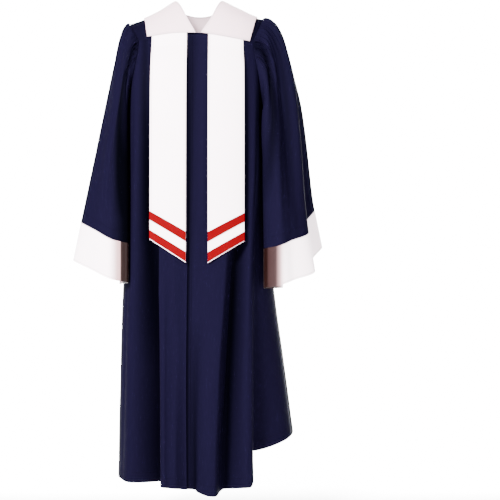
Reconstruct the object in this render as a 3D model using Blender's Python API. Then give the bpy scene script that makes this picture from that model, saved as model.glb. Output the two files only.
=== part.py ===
"""Graduation gown in the hollow shape it has when worn, with its white yoke collar, hanging stole
tails, red ribbons and cuff bands. Metres, +Z up, the front towards -Y, the wearer's left towards
+X. The origin is midway between the two points where the neck meets the shoulders.

Every piece of cloth is a closed wall between an outer and an inner face. The body is read from
SECTIONS, its plain size at a few heights, and BODY_FOLDS, one row for each ridge and valley that
runs down it. Above ARCH_DROP it rounds over to the shoulder line. The sleeves run from their
armholes to the ridges and valleys of their hems, and the collar, stole tails and ribbons lie on
the body's own surface, moved out."""

import math

import bpy
import numpy as np

# Cloth and seams
CLOTH = 0.0018
COLLAR_CLOTH = 0.0024
TAIL_CLOTH = 0.0020
RIBBON_CLOTH = 0.0012
CUFF_CLOTH = 0.0022
GAP = 0.0003
HALF_SEAM = GAP / 2

# Heights, as drops below the neck points
ARCH_DROP = 0.140
UNDERARM_DROP = 0.340
CHEST_DROP = 0.200
WAIST_DROP = 0.480
KNEE_DROP = 0.900
HEM_DROP = 1.308

# Leans over the shoulders in degrees: -90 is level with the front of the body, 90 with the back
YOKE_FRONT_LEAN = -77.0
YOKE_BACK_LEAN = 90.0

# The body's plain size at each height: how far it reaches to each side, and how square it is
SECTION_COLUMNS = ("drop", "right", "left", "front", "back", "square")
SECTIONS = (
    (0.140, 0.189, 0.176, 0.100, 0.104, 3.0),
    (0.220, 0.190, 0.177, 0.121, 0.112, 2.9),
    (0.340, 0.191, 0.179, 0.133, 0.120, 2.8),
    (0.480, 0.193, 0.184, 0.138, 0.130, 2.7),
    (0.700, 0.198, 0.187, 0.142, 0.150, 2.5),
    (0.900, 0.205, 0.201, 0.145, 0.172, 2.4),
    (1.100, 0.208, 0.220, 0.148, 0.194, 2.3),
    (1.308, 0.210, 0.239, 0.150, 0.215, 2.2),
)

# The ridges and valleys down the body, from the front opening round by the wearer's left. Turns
# are in degrees from straight ahead; outs, lean and lift are in metres, lean towards larger turns
FOLD_COLUMNS = (
    "name", "turn_yoke", "turn_hem", "out_chest", "out_waist", "out_knee", "out_hem", "lean", "lift"
)
BODY_FOLDS = (
    ("front_opening", -2.5, -6.0, -0.001, -0.002, -0.004, -0.014, 0.000, 0.011),
    ("front_left_ridge", 26.0, 8.0, 0.001, 0.004, 0.010, 0.026, 0.004, 0.000),
    ("front_left_valley", 39.0, 17.0, -0.001, -0.012, -0.042, -0.044, 0.000, 0.006),
    ("side_front_ridge", 52.0, 30.5, 0.003, 0.005, 0.006, 0.010, 0.004, 0.016),
    ("side_front_valley", 68.0, 44.0, -0.001, -0.004, -0.016, -0.052, 0.000, 0.100),
    ("left_flare_ridge", 98.0, 112.0, 0.000, 0.002, 0.010, 0.028, 0.000, 0.136),
    ("left_flare_valley", 118.0, 128.0, -0.001, -0.006, -0.016, -0.034, 0.000, 0.122),
    ("back_ridge_1", 134.0, 142.0, 0.002, 0.006, 0.014, 0.026, 0.000, 0.098),
    ("back_valley_1", 146.0, 153.5, -0.002, -0.008, -0.018, -0.032, 0.000, 0.092),
    ("back_ridge_2", 157.0, 166.0, 0.002, 0.007, 0.016, 0.030, 0.000, 0.080),
    ("back_valley_2", 168.0, 176.5, -0.002, -0.007, -0.016, -0.026, 0.000, 0.076),
    ("back_ridge_3", 180.0, 188.0, 0.002, 0.007, 0.015, 0.028, 0.000, 0.068),
    ("back_valley_3", 192.0, 198.0, -0.002, -0.008, -0.018, -0.034, 0.000, 0.066),
    ("back_ridge_4", 204.0, 210.0, 0.002, 0.007, 0.015, 0.026, 0.000, 0.058),
    ("back_valley_4", 217.0, 221.0, -0.002, -0.008, -0.018, -0.030, 0.000, 0.056),
    ("back_ridge_5", 231.0, 235.0, 0.002, 0.006, 0.012, 0.022, 0.000, 0.048),
    ("right_back_valley", 246.0, 249.0, -0.001, -0.006, -0.014, -0.026, 0.000, 0.044),
    ("right_side_ridge", 266.0, 267.0, 0.000, 0.002, 0.004, 0.007, 0.000, 0.032),
    ("right_side_valley", 290.0, 285.0, 0.001, 0.002, 0.005, 0.008, 0.000, 0.026),
    ("right_front_ridge", 309.0, 304.0, 0.003, 0.006, 0.007, 0.009, 0.000, 0.022),
    ("right_front_valley", 331.0, 333.0, -0.002, -0.024, -0.074, -0.086, 0.000, 0.018),
    ("right_panel_edge", 337.5, 338.0, 0.001, 0.004, 0.010, 0.014, -0.008, 0.020),
    ("right_panel_middle", 347.0, 346.0, 0.000, 0.002, 0.004, 0.005, 0.000, 0.016),
)
FULL_TURN = 360.0
FOLDS = len(BODY_FOLDS)

# Places round the body, counted in rows of BODY_FOLDS: the two side seams, and the place in each
# panel from which its cloth is drawn in at the armhole
LEFT_SIDE_SEAM = 4.75
RIGHT_SIDE_SEAM = 17.2
FRONT_LEFT_HELD = 2.0
BACK_LEFT_HELD = 7.0
BACK_RIGHT_HELD = 14.0
FRONT_RIGHT_HELD = 20.0

# The fine gathers under the yoke's seam across the back
BACK_GATHERS = 30
BACK_GATHERS_FROM = -0.144
BACK_GATHERS_TO = 0.134
BACK_GATHER_DEPTH = 0.0020
GATHER_START = 0.010
GATHER_LENGTH = 0.120
GATHER_END_SOFTNESS = 5.0
GATHER_CLEARANCE = 0.1

# The shoulder line from the wearer's right to left
SHOULDER_COLUMNS = ("x", "drop")
SHOULDER_LINE = (
    (-0.190, 0.065),
    (-0.150, 0.053),
    (-0.105, 0.032),
    (-0.063, 0.006),
    (0.000, -0.008),
    (0.064, 0.005),
    (0.110, 0.027),
    (0.158, 0.048),
    (0.176, 0.052),
)

# The armholes: their x over the shoulder and at the two lower corners of the yoke
ARMHOLE_COLUMNS = ("name", "side", "shoulder_x", "front_x", "back_x", "cap_reach", "cap_rise")
ARMHOLES = (
    ("right", -1.0, 0.187, 0.156, 0.160, 0.030, 0.006),
    ("left", 1.0, 0.172, 0.146, 0.148, 0.082, 0.020),
)
ARMHOLE_BEND = 1.5
FRONT_STRETCH = 0.34
OVER_STRETCH = 0.32

# The ridges and valleys of the sleeves, from the underarm round the front. The head is a share of
# the way round the armhole; x is out from the middle, and mid is the cloth's rise at half length
SLEEVE_COLUMNS = ("name", "head", "x", "y", "drop", "mid")
SLEEVE_FOLDS = {
    "right": (
        ("inner", 0.00, 0.211, 0.020, 0.664, 0.000),
        ("inner_front", 0.07, 0.208, -0.035, 0.661, 0.002),
        ("front_valley", 0.15, 0.181, -0.101, 0.657, 0.004),
        ("front_ridge", 0.24, 0.220, -0.110, 0.648, 0.010),
        ("front_middle", 0.36, 0.268, -0.090, 0.623, -0.002),
        ("outer_ridge", 0.50, 0.317, -0.022, 0.599, -0.004),
        ("outer_back", 0.60, 0.303, 0.060, 0.603, -0.004),
        ("back_ridge", 0.71, 0.268, 0.132, 0.618, 0.006),
        ("back_valley", 0.82, 0.230, 0.115, 0.640, -0.006),
        ("inner_back", 0.92, 0.213, 0.075, 0.655, 0.002),
    ),
    "left": (
        ("inner", 0.00, 0.223, 0.020, 0.672, 0.000),
        ("inner_front", 0.07, 0.214, -0.038, 0.673, 0.002),
        ("front_valley", 0.14, 0.174, -0.086, 0.672, 0.006),
        ("front_ridge", 0.23, 0.218, -0.122, 0.662, 0.008),
        ("middle_valley", 0.31, 0.246, -0.102, 0.650, -0.014),
        ("front_outer_ridge", 0.41, 0.294, -0.058, 0.630, 0.006),
        ("outer_valley", 0.50, 0.288, 0.012, 0.603, 0.004),
        ("rear_ridge", 0.60, 0.318, 0.078, 0.563, 0.014),
        ("back_ridge", 0.71, 0.282, 0.138, 0.578, 0.002),
        ("back_valley", 0.82, 0.240, 0.112, 0.612, -0.008),
        ("inner_back", 0.92, 0.225, 0.078, 0.650, 0.002),
    ),
}
SEAM_REACH = 0.034
SEAM_FALL = 0.050
SEAM_STAND = 0.010
SLEEVE_STAND = 0.0006
REACH_FROM_UNDERARM = 0.36
HEM_PULL = 0.200
HEM_SPLAY = 1.75
HEM_SPLAY_FROM = 0.200
CUFF_SEAM = 0.0005
CUFF_LENGTH = 0.104
CUFF_FLARE = 0.10
SLEEVE_GATHERS = 36
GATHERS_FROM = 0.24
GATHERS_TO = 0.76
SLEEVE_GATHER_DEPTH = 0.0019
SLEEVE_GATHER_START = 0.04
SLEEVE_GATHER_LENGTH = 0.34
MID_SPREAD = 1.5

# The yoke and the collar from the front right end round the back of the neck to the front left
RING_COLUMNS = ("name", "inner_x", "inner_lean", "outer_x", "outer_lean")
COLLAR_RING = (
    ("right_end", -0.0050, -76.0, -0.1315, -73.0),
    ("right_chest", -0.033, -52.0, -0.138, -46.0),
    ("right_neck", -0.063, -6.0, -0.1475, 4.0),
    ("right_nape", -0.052, 30.0, -0.126, 52.0),
    ("right_back", -0.028, 40.0, -0.074, 72.0),
    ("back_middle", 0.000, 43.0, 0.000, 78.0),
    ("left_back", 0.028, 40.0, 0.076, 72.0),
    ("left_nape", 0.052, 30.0, 0.132, 52.0),
    ("left_neck", 0.063, -6.0, 0.157, 4.0),
    ("left_chest", 0.040, -52.0, 0.148, -46.0),
    ("left_end", 0.0095, -76.0, 0.1356, -80.5),
)
COLLAR_STAND = 0.0019
NECK_COLUMNS = ("name", "x", "lean")
YOKE_NECK = (
    ("right_end", -0.022, YOKE_FRONT_LEAN),
    ("right_chest", -0.050, -48.0),
    ("right_neck", -0.076, -2.0),
    ("right_nape", -0.074, 38.0),
    ("right_corner", -0.062, 56.0),
    ("right_back", -0.034, 62.0),
    ("back_middle", 0.000, 64.0),
    ("left_back", 0.034, 62.0),
    ("left_corner", 0.062, 56.0),
    ("left_nape", 0.074, 38.0),
    ("left_neck", 0.076, -2.0),
    ("left_chest", 0.050, -48.0),
    ("left_end", 0.022, YOKE_FRONT_LEAN),
)
YOKE_OUTER_LEANS = (-77.0, -44.0, 0.0, 48.0, 90.0)

# The stole tails: their two edges, and the drops at each edge of the ribbons that cross them
TAIL_COLUMNS = ("name", "inner_x", "outer_x", "hem_inner", "hem_outer")
TAILS = (
    ("right", -0.0275, -0.1190, 0.7075, 0.6471),
    ("left", 0.0285, 0.1190, 0.7086, 0.6523),
)
TAIL_BELOW_COLLAR = 0.0007
TAIL_STAND = 0.0085
TAIL_SETTLE = 0.080
RIBBON_COLUMNS = ("name", "up_inner", "up_outer", "width_inner", "width_outer")
RIBBONS = (
    ("upper", 0.0545, 0.0510, 0.0256, 0.0228),
    ("lower", 0.0020, 0.0020, 0.0256, 0.0228),
)

# How many stretches each piece is divided into
BODY_ROWS = (0.0, 0.010, 0.028, 0.060, 0.110, 0.180, 0.270, 0.380, 0.540, 0.710, 0.860, 1.0)
COLUMNS_PER_FOLD = 3
SLEEVE_ROWS = (0.0, 0.035, 0.10, 0.20, 0.36, 0.56, 0.78, 1.0)
SLEEVE_PLAIN_COLUMNS = 10
CUFF_ROWS = (0.0, 0.5, 1.0)
YOKE_RINGS = 5
COLLAR_RINGS = 5
COLLAR_COLUMNS_PER_ROW = 4
YOKE_COLUMNS_PER_ROW = 3
TAIL_COLUMNS_ACROSS = 4
TAIL_ROWS = 12

READING_STEP = 0.25
SHARP_ANGLE = 50.0

# Colours as linear red, green, blue, and roughness
FINISHES = {
    "navy_cloth": ((0.012, 0.013, 0.045), 0.62),
    "white_satin": ((0.87, 0.84, 0.85), 0.42),
    "red_ribbon": ((0.68, 0.012, 0.018), 0.45),
}


def column(table, names, wanted):
    """One named column of a table, as an array."""
    return np.array([row[names.index(wanted)] for row in table])


def row_of(table, name):
    """The row of a table with that name."""
    return next(row for row in table if row[0] == name)


def smooth_curve(keys, values, at):
    """The values read at any place between the keys, on one smooth curve."""
    keys = np.asarray(keys, float)
    values = np.asarray(values, float)
    at = np.clip(at, keys[0], keys[-1])
    slopes = np.gradient(values, keys, axis=0)
    first = np.clip(np.searchsorted(keys, at, side="right") - 1, 0, len(keys) - 2)
    step = keys[first + 1] - keys[first]
    t = (at - keys[first]) / step
    if values.ndim > 1:
        step = step[:, None]
        t = t[:, None]
    return (
        values[first] * (1 + 2 * t) * (1 - t) ** 2
        + slopes[first] * step * t * (1 - t) ** 2
        + values[first + 1] * t * t * (3 - 2 * t)
        + slopes[first + 1] * step * t * t * (t - 1)
    )


def closed_curve(keys, values, at):
    """Like smooth_curve, on a closed curve whose keys go once round from 0 to 1."""
    keys = np.asarray(keys, float)
    values = np.asarray(values, float)
    keys = np.concatenate([keys[-2:] - 1, keys, keys[:3] + 1])
    values = np.concatenate([values[-2:], values, values[:3]])
    return smooth_curve(keys, values, np.asarray(at, float) % 1.0)


def ease(t):
    """0 up to t = 0, 1 from t = 1, with a soft start and end."""
    t = np.clip(t, 0.0, 1.0)
    return t * t * (3 - 2 * t)


def unit(vectors):
    return vectors / np.linalg.norm(vectors, axis=-1, keepdims=True)


def section(drop, name):
    """One size of the body's plain section at a drop."""
    return smooth_curve(
        column(SECTIONS, SECTION_COLUMNS, "drop"), column(SECTIONS, SECTION_COLUMNS, name), drop
    )


def shoulder_drop(x):
    return smooth_curve(
        column(SHOULDER_LINE, SHOULDER_COLUMNS, "x"),
        column(SHOULDER_LINE, SHOULDER_COLUMNS, "drop"),
        x,
    )


def lean_drop(x, lean):
    """The drop of the place over the shoulders with that x and lean."""
    return ARCH_DROP - (ARCH_DROP - shoulder_drop(x)) * np.cos(np.radians(lean))


def shoulder(x, lean):
    """A point over the shoulders, where the body rounds over from its front to its back."""
    x = np.asarray(x, float)
    lean = np.asarray(lean, float) + np.zeros_like(x)
    side = np.where(x > 0, section(ARCH_DROP, "left"), section(ARCH_DROP, "right"))
    square = section(ARCH_DROP, "square")
    depth = np.where(lean < 0, section(ARCH_DROP, "front"), section(ARCH_DROP, "back"))
    depth = depth * np.maximum(1 - (np.abs(x) / side) ** square, 1e-6) ** (1 / square)
    return np.stack([x, depth * np.sin(np.radians(lean)), -lean_drop(x, lean)], axis=-1)


def fold_value(u, name):
    """A fold column read round the body: it eases from each ridge or valley to the next."""
    values = column(BODY_FOLDS, FOLD_COLUMNS, name)
    first = np.floor(u).astype(int)
    t = ease(u - first)
    return values[first % FOLDS] * (1 - t) + values[(first + 1) % FOLDS] * t


def fold_turn(u, drop):
    """The turn in degrees of place u round the body, where u counts the rows of BODY_FOLDS."""
    share = ease((drop - ARCH_DROP) / (HEM_DROP - ARCH_DROP))
    first = np.floor(u).astype(int)
    turns = []
    for index in (first, first + 1):
        lap = FULL_TURN * (index // FOLDS)
        yoke = column(BODY_FOLDS, FOLD_COLUMNS, "turn_yoke")[index % FOLDS]
        hem = column(BODY_FOLDS, FOLD_COLUMNS, "turn_hem")[index % FOLDS]
        turns.append(lap + yoke + (hem - yoke) * share)
    return turns[0] + (turns[1] - turns[0]) * (u - first)


def plain_ring(turn, drop):
    """The x and y of the body's plain section, with no folds."""
    angle = np.radians(turn)
    power = 2 / section(drop, "square")
    side = np.where(np.sin(angle) > 0, section(drop, "left"), section(drop, "right"))
    depth = np.where(np.cos(angle) > 0, section(drop, "front"), section(drop, "back"))
    x = side * np.sign(np.sin(angle)) * np.abs(np.sin(angle)) ** power
    y = -depth * np.sign(np.cos(angle)) * np.abs(np.cos(angle)) ** power
    return x, y


def plain_body(u, drop):
    """The body with no folds. Above ARCH_DROP it rounds over towards the shoulder line."""
    x, y = plain_ring(fold_turn(u, np.maximum(drop, ARCH_DROP)), np.maximum(drop, ARCH_DROP))
    above = np.maximum(ARCH_DROP - drop, 0.0) / (ARCH_DROP - shoulder_drop(x))
    y = y * np.sqrt(np.maximum(1 - above**2, 0.0))
    return np.stack([x, y, -drop], axis=-1)


def surface_normals(surface, a, b, step_a=0.02, step_b=0.002):
    """Unit normals of a surface of two arrays, and its unit direction along the first."""
    across = surface(a + step_a, b) - surface(a - step_a, b)
    down = surface(a, b + step_b) - surface(a, b - step_b)
    return unit(np.cross(down, across)), unit(across)


def seam_drop(u):
    """The drop of the yoke's seam above place u: level at the back, on YOKE_FRONT_LEAN in front."""
    turn = fold_turn(u, np.full_like(u, ARCH_DROP))
    x, _ = plain_ring(turn, np.full_like(u, ARCH_DROP))
    front = lean_drop(x, YOKE_FRONT_LEAN)
    return np.where(np.cos(np.radians(turn)) > 0, front, ARCH_DROP)


def body_gathers(u, drop):
    """How far the back's gathers move the cloth out, fading down from the yoke's seam."""
    turn = fold_turn(u, np.full_like(u, ARCH_DROP))
    x, _ = plain_ring(turn, np.full_like(u, ARCH_DROP))
    below = drop - ARCH_DROP
    fade = ease(below / GATHER_START) * (1 - ease((below - GATHER_START) / GATHER_LENGTH))
    along = (x - BACK_GATHERS_FROM) / (BACK_GATHERS_TO - BACK_GATHERS_FROM)
    wave = gather_wave(along, BACK_GATHERS) * BACK_GATHER_DEPTH
    return np.where(np.cos(np.radians(turn)) < 0, wave * fade, 0.0)


def gather_wave(along, count):
    """Ridges and valleys of a run of gathers from along = 0 to 1, shallower at its two ends."""
    inside = np.clip(along, 0.0, 1.0)
    return -np.cos(2 * math.pi * count * inside) * ease(
        GATHER_END_SOFTNESS * np.sin(math.pi * inside)
    )


def body_outs(u, drop):
    """How far the large folds move the body's cloth out at a drop."""
    keys = np.array((ARCH_DROP, CHEST_DROP, WAIST_DROP, KNEE_DROP, HEM_DROP))
    names = ("out_chest", "out_waist", "out_knee", "out_hem")
    levels = np.stack([np.zeros_like(u)] + [fold_value(u, name) for name in names])
    slopes = np.gradient(levels, keys, axis=0)
    at = np.clip(drop, keys[0], keys[-1])
    first = np.clip(np.searchsorted(keys, at, side="right") - 1, 0, len(keys) - 2)
    step = keys[first + 1] - keys[first]
    t = (at - keys[first]) / step
    here = np.arange(len(u))
    return (
        levels[first, here] * (1 + 2 * t) * (1 - t) ** 2
        + slopes[first, here] * step * t * (1 - t) ** 2
        + levels[first + 1, here] * t * t * (3 - 2 * t)
        + slopes[first + 1, here] * step * t * t * (t - 1)
    )


def body(u, drop):
    """The outer face of the gown's body at places u round it and drops, one point a row."""
    u = np.asarray(u, float)
    drop = np.asarray(drop, float) + np.zeros_like(u)
    plain = plain_body(u, drop)
    normal, across = surface_normals(plain_body, u, drop)
    grown = ease((drop - ARCH_DROP) / (HEM_DROP - ARCH_DROP))
    out = body_outs(u, drop) + body_gathers(u, drop)
    points = plain + normal * out[:, None] + across * (fold_value(u, "lean") * grown)[:, None]
    points[:, 2] += fold_value(u, "lift") * grown
    return points


def u_at_turn(turn, drop):
    """The places u with these turns at these drops."""
    places = np.arange(-FOLDS // 4, FOLDS * 5 // 4, READING_STEP)
    found = [
        np.interp(one, fold_turn(places, np.full_like(places, level)), places)
        for one, level in zip(np.atleast_1d(turn), np.atleast_1d(drop))
    ]
    return np.array(found)


def armhole_x(name, lean):
    """The x of an armhole's edge over the shoulder."""
    _, side, shoulder_x, front_x, back_x, *_ = row_of(ARMHOLES, name)
    lean = np.asarray(lean, float)
    share = np.where(lean < 0, lean / YOKE_FRONT_LEAN, lean / YOKE_BACK_LEAN)
    corner = np.where(lean < 0, front_x, back_x)
    return side * (shoulder_x + (corner - shoulder_x) * share**2)


def corner_turn(name, front):
    """How far round the side the yoke's lower corner is, as degrees from the front or the back."""
    _, _, _, front_x, back_x, *_ = row_of(ARMHOLES, name)
    reach = section(ARCH_DROP, name)
    x = front_x if front else back_x
    return math.degrees(math.asin((x / reach) ** (section(ARCH_DROP, "square") / 2)))


def corner_drop(name, front):
    """The drop of the yoke's lower corner."""
    _, side, _, front_x, *_ = row_of(ARMHOLES, name)
    return float(lean_drop(side * front_x, YOKE_FRONT_LEAN)) if front else ARCH_DROP


def armhole_turn(name, front, drop):
    """The armhole's edge below the yoke, as degrees from the front or the back."""
    top = corner_drop(name, front)
    height = np.clip((UNDERARM_DROP - drop) / (UNDERARM_DROP - top), 0.0, 1.0)
    bend = (1 - (1 - height) ** ARMHOLE_BEND) ** (1 / ARMHOLE_BEND)
    return 90.0 - (90.0 - corner_turn(name, front)) * bend


def full_turn_of(name, front, turn):
    """The turn from straight ahead, round by the wearer's left, of a turn from front or back."""
    around = turn if front else 180.0 - turn
    return around if name == "left" else FULL_TURN - around


def armhole(name, share):
    """The armhole's edge from the underarm up the front, over and down the back: points, normals."""
    share = np.asarray(share, float) % 1.0
    points = np.zeros((len(share), 3))
    normals = np.zeros((len(share), 3))
    over_end = FRONT_STRETCH + OVER_STRETCH
    for front in (True, False):
        length = FRONT_STRETCH if front else 1 - over_end
        up = share / length if front else (1 - share) / length
        here = (share <= FRONT_STRETCH) if front else (share > over_end)
        drop = UNDERARM_DROP - (UNDERARM_DROP - corner_drop(name, front)) * up[here]
        turn = full_turn_of(name, front, armhole_turn(name, front, drop))
        u = u_at_turn(turn, np.maximum(drop, ARCH_DROP))
        points[here] = body(u, drop)
        normals[here] = surface_normals(body, u, drop)[0]
    here = (share > FRONT_STRETCH) & (share <= over_end)
    over = (share[here] - FRONT_STRETCH) / OVER_STRETCH
    lean = YOKE_FRONT_LEAN + (YOKE_BACK_LEAN - YOKE_FRONT_LEAN) * over
    x = armhole_x(name, lean)
    points[here] = shoulder(x, lean)
    normals[here] = shoulder_normals(x, lean)
    return points, normals


def shoulder_normals(x, lean):
    """Unit normals over the shoulders, pointing out of the body."""
    normal, _ = surface_normals(shoulder, x, lean, 0.0005, 0.5)
    outward = normal[:, 1] * np.sin(np.radians(lean)) + normal[:, 2] * np.cos(np.radians(lean))
    return normal * np.where(outward < 0, -1.0, 1.0)[:, None]


def grid_normals(grid, closed):
    """Unit normals of a grid of points, from its neighbouring rows and columns."""
    down = np.gradient(grid, axis=0)
    if closed:
        across = np.roll(grid, -1, axis=1) - np.roll(grid, 1, axis=1)
    else:
        across = np.gradient(grid, axis=1)
    return unit(np.cross(down, across))


def sleeve_gathers(share, t):
    """How far the sleeve head's gathers move the cloth out, fading down from the armhole."""
    along = (share - GATHERS_FROM) / (GATHERS_TO - GATHERS_FROM)
    fade_in = ease(t / SLEEVE_GATHER_START)
    fade = fade_in * (1 - ease((t - SLEEVE_GATHER_START) / SLEEVE_GATHER_LENGTH))
    return SLEEVE_GATHER_DEPTH * gather_wave(along, SLEEVE_GATHERS) * fade


def sleeve_hem(name, share):
    """The sleeve's lower edge where its cuff is sewn on, and the way it runs on down there."""
    side = row_of(ARMHOLES, name)[1]
    folds = SLEEVE_FOLDS[name]
    heads = column(folds, SLEEVE_COLUMNS, "head")
    hem = np.stack(
        [
            side * column(folds, SLEEVE_COLUMNS, "x"),
            column(folds, SLEEVE_COLUMNS, "y"),
            -column(folds, SLEEVE_COLUMNS, "drop"),
        ],
        axis=-1,
    )
    points = closed_curve(heads, hem, share)
    splay = np.maximum(np.abs(points[:, 0]) - HEM_SPLAY_FROM, 0.0) * HEM_SPLAY
    forward = points[:, 1] * CUFF_FLARE
    return points, np.stack([side * splay, forward, -np.ones_like(splay)], axis=-1)


def sleeve_grid(name, shares, rows):
    """The sleeve's outer face: a row of points for each step from the armhole to the cuff."""
    _, side, _, _, _, cap_reach, cap_rise = row_of(ARMHOLES, name)
    edge, normal = armhole(name, shares)
    start = edge + normal * (CLOTH + SLEEVE_STAND)
    end, run = sleeve_hem(name, shares)
    over = ease((shares - 0.5 * FRONT_STRETCH) / (0.5 * FRONT_STRETCH))
    over = over * ease((1 - 0.5 * FRONT_STRETCH - shares) / (0.5 * FRONT_STRETCH))
    cap = np.array([side * cap_reach, 0.0, cap_rise])
    reach = SEAM_REACH * ease(np.minimum(shares, 1 - shares) / REACH_FROM_UNDERARM)
    seam = reach[:, None] * np.array([side, 0.0, 0.0]) - np.array([0.0, 0.0, SEAM_FALL])
    lead = over[:, None] * cap + (1 - over)[:, None] * seam + normal * SEAM_STAND
    t = np.asarray(rows)[:, None, None]
    grid = (
        start * (1 - t) ** 3
        + (start + lead) * 3 * t * (1 - t) ** 2
        + (end - run * HEM_PULL) * 3 * t * t * (1 - t)
        + end * t**3
    )
    normals = grid_normals(grid, closed=True) * side
    folds = SLEEVE_FOLDS[name]
    mid = closed_curve(
        column(folds, SLEEVE_COLUMNS, "head"), column(folds, SLEEVE_COLUMNS, "mid"), shares
    )
    level = t[:, :, 0]
    out = mid * (4 * level * (1 - level)) ** MID_SPREAD + sleeve_gathers(shares, level)
    return grid + normals * out[:, :, None]


def cuff_grid(name, shares, rows):
    """The cuff band's outer face, from its seam to its edge."""
    end, run = sleeve_hem(name, shares)
    t = np.asarray(rows)[:, None, None]
    return end + run * (CUFF_SEAM + (CUFF_LENGTH - CUFF_SEAM) * t)


def clear_edges(grid):
    """The grid with its outermost rows and columns drawn in by half a seam."""
    grid = grid.copy()
    for edge, inside in ((0, 1), (-1, -2)):
        grid[edge] += unit(grid[inside] - grid[edge]) * HALF_SEAM
    for edge, inside in ((0, 1), (-1, -2)):
        grid[:, edge] += unit(grid[:, inside] - grid[:, edge]) * HALF_SEAM
    return grid


def finish_material(name):
    """The material of one of the FINISHES, made once."""
    if name in bpy.data.materials:
        return bpy.data.materials[name]
    colour, roughness = FINISHES[name]
    material = bpy.data.materials.new(name)
    material.use_nodes = True
    shader = material.node_tree.nodes["Principled BSDF"]
    shader.inputs["Base Color"].default_value = (*colour, 1.0)
    shader.inputs["Roughness"].default_value = roughness
    shader.inputs["Metallic"].default_value = 0.0
    return material


def volume_of(points, faces):
    """The signed volume inside a closed mesh of triangles."""
    a, b, c = (points[[face[i] for face in faces]] for i in range(3))
    return np.einsum("ij,ij->i", a, np.cross(b, c)).sum() / 6


def split(points, a, b, c, d):
    """A four-sided face as two triangles, divided along its shorter diagonal."""
    if np.linalg.norm(points[a] - points[c]) <= np.linalg.norm(points[b] - points[d]):
        return (a, b, c), (a, c, d)
    return (a, b, d), (b, c, d)


def wall(name, outer, inner, finish, closed=False):
    """A closed wall of cloth between two grids of points. A closed one is a tube with open ends.
    Both faces are divided along the same diagonals, so a twisted stretch keeps its thickness."""
    rows, columns = outer.shape[:2]
    points = np.concatenate([outer.reshape(-1, 3), inner.reshape(-1, 3)])
    back = rows * columns
    stretches = [(j, (j + 1) % columns) for j in range(columns if closed else columns - 1)]
    faces = []
    for start in range(0, (rows - 1) * columns, columns):
        for j, k in stretches:
            a, b = start + j, start + k
            for triangle in split(points, a, b, b + columns, a + columns):
                faces.append(triangle)
                faces.append(tuple(back + corner for corner in reversed(triangle)))
    last = (rows - 1) * columns
    rims = [(k, j, back + j, back + k) for j, k in stretches]
    rims += [(last + j, last + k, back + last + k, back + last + j) for j, k in stretches]
    if not closed:
        for a in range(0, last, columns):
            b = a + columns - 1
            rims.append((a, a + columns, back + a + columns, back + a))
            rims.append((b + columns, b, back + b, back + b + columns))
    for rim in rims:
        faces.extend(split(points, *rim))
    if volume_of(points, faces) < 0:
        faces = [face[::-1] for face in faces]
    mesh = bpy.data.meshes.new(name)
    mesh.from_pydata([tuple(point) for point in points], [], faces)
    mesh.update()
    piece = bpy.data.objects.new(name, mesh)
    mesh.materials.append(finish_material(finish))
    mesh.shade_smooth()
    mesh.set_sharp_from_angle(angle=math.radians(SHARP_ANGLE))
    bpy.context.collection.objects.link(piece)


def gather_columns(start, end, count):
    """Places on each ridge and valley of a run of gathers."""
    return np.linspace(start, end, 2 * count + 1)


def panel_columns(first, last):
    """Places across a panel: evenly over its folds, and on each ridge and valley of its gathers."""
    places = np.linspace(first, last, round(abs(last - first)) * COLUMNS_PER_FOLD + 1)
    x = gather_columns(BACK_GATHERS_TO, BACK_GATHERS_FROM, BACK_GATHERS)
    side = np.where(x > 0, section(ARCH_DROP, "left"), section(ARCH_DROP, "right"))
    turn = np.degrees(np.arcsin((np.abs(x) / side) ** (section(ARCH_DROP, "square") / 2)))
    gathered = u_at_turn(FULL_TURN / 2 - np.sign(x) * turn, np.full_like(x, ARCH_DROP))
    if first < gathered[0] and gathered[-1] < last:
        before = places < gathered[0] - GATHER_CLEARANCE
        after = places > gathered[-1] + GATHER_CLEARANCE
        places = places[before | after]
        places = np.sort(np.concatenate([places, gathered]))
    return places


def panel(name, first, last, armholes):
    """A panel of the body from the yoke's seam to the hem, cut back at its armholes. Each armhole
    is (the side's name, whether this panel is in front, the edge column, the place that stays)."""
    columns = panel_columns(first, last)
    outer, inner = [], []
    for share in BODY_ROWS:
        drop = row_drop(columns, share)
        u = columns.copy()
        for side_name, front, edge, fixed in armholes:
            level = float(drop[edge])
            if level < UNDERARM_DROP:
                turn = full_turn_of(side_name, front, armhole_turn(side_name, front, level))
                limit = u_at_turn(turn, max(level, ARCH_DROP))[0]
                if limit < columns[edge] - FOLDS / 2:
                    limit += FOLDS
                span = (columns - fixed) / (columns[edge] - fixed)
                u = np.where(span > 0, fixed + (limit - fixed) * span, u)
                drop = row_drop(u, share)
        points = body(u, drop)
        normal, _ = surface_normals(body, u, drop)
        outer.append(points)
        inner.append(points - normal * CLOTH)
    wall(name, clear_edges(np.array(outer)), clear_edges(np.array(inner)), "navy_cloth")


def row_drop(u, share):
    """The drops of a panel's row at places u, a share of the way from the yoke's seam to the hem."""
    top = seam_drop(u)
    return top + (HEM_DROP - top) * share


def body_panels():
    at_left = ("left", True, -1, FRONT_LEFT_HELD)
    at_right = ("right", True, 0, FRONT_RIGHT_HELD)
    at_back_left = ("left", False, 0, BACK_LEFT_HELD)
    at_back_right = ("right", False, -1, BACK_RIGHT_HELD)
    panel("front_left", 0.0, LEFT_SIDE_SEAM, [at_left])
    panel("back", LEFT_SIDE_SEAM, RIGHT_SIDE_SEAM, [at_back_left, at_back_right])
    panel("front_right", RIGHT_SIDE_SEAM, float(FOLDS), [at_right])


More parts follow.
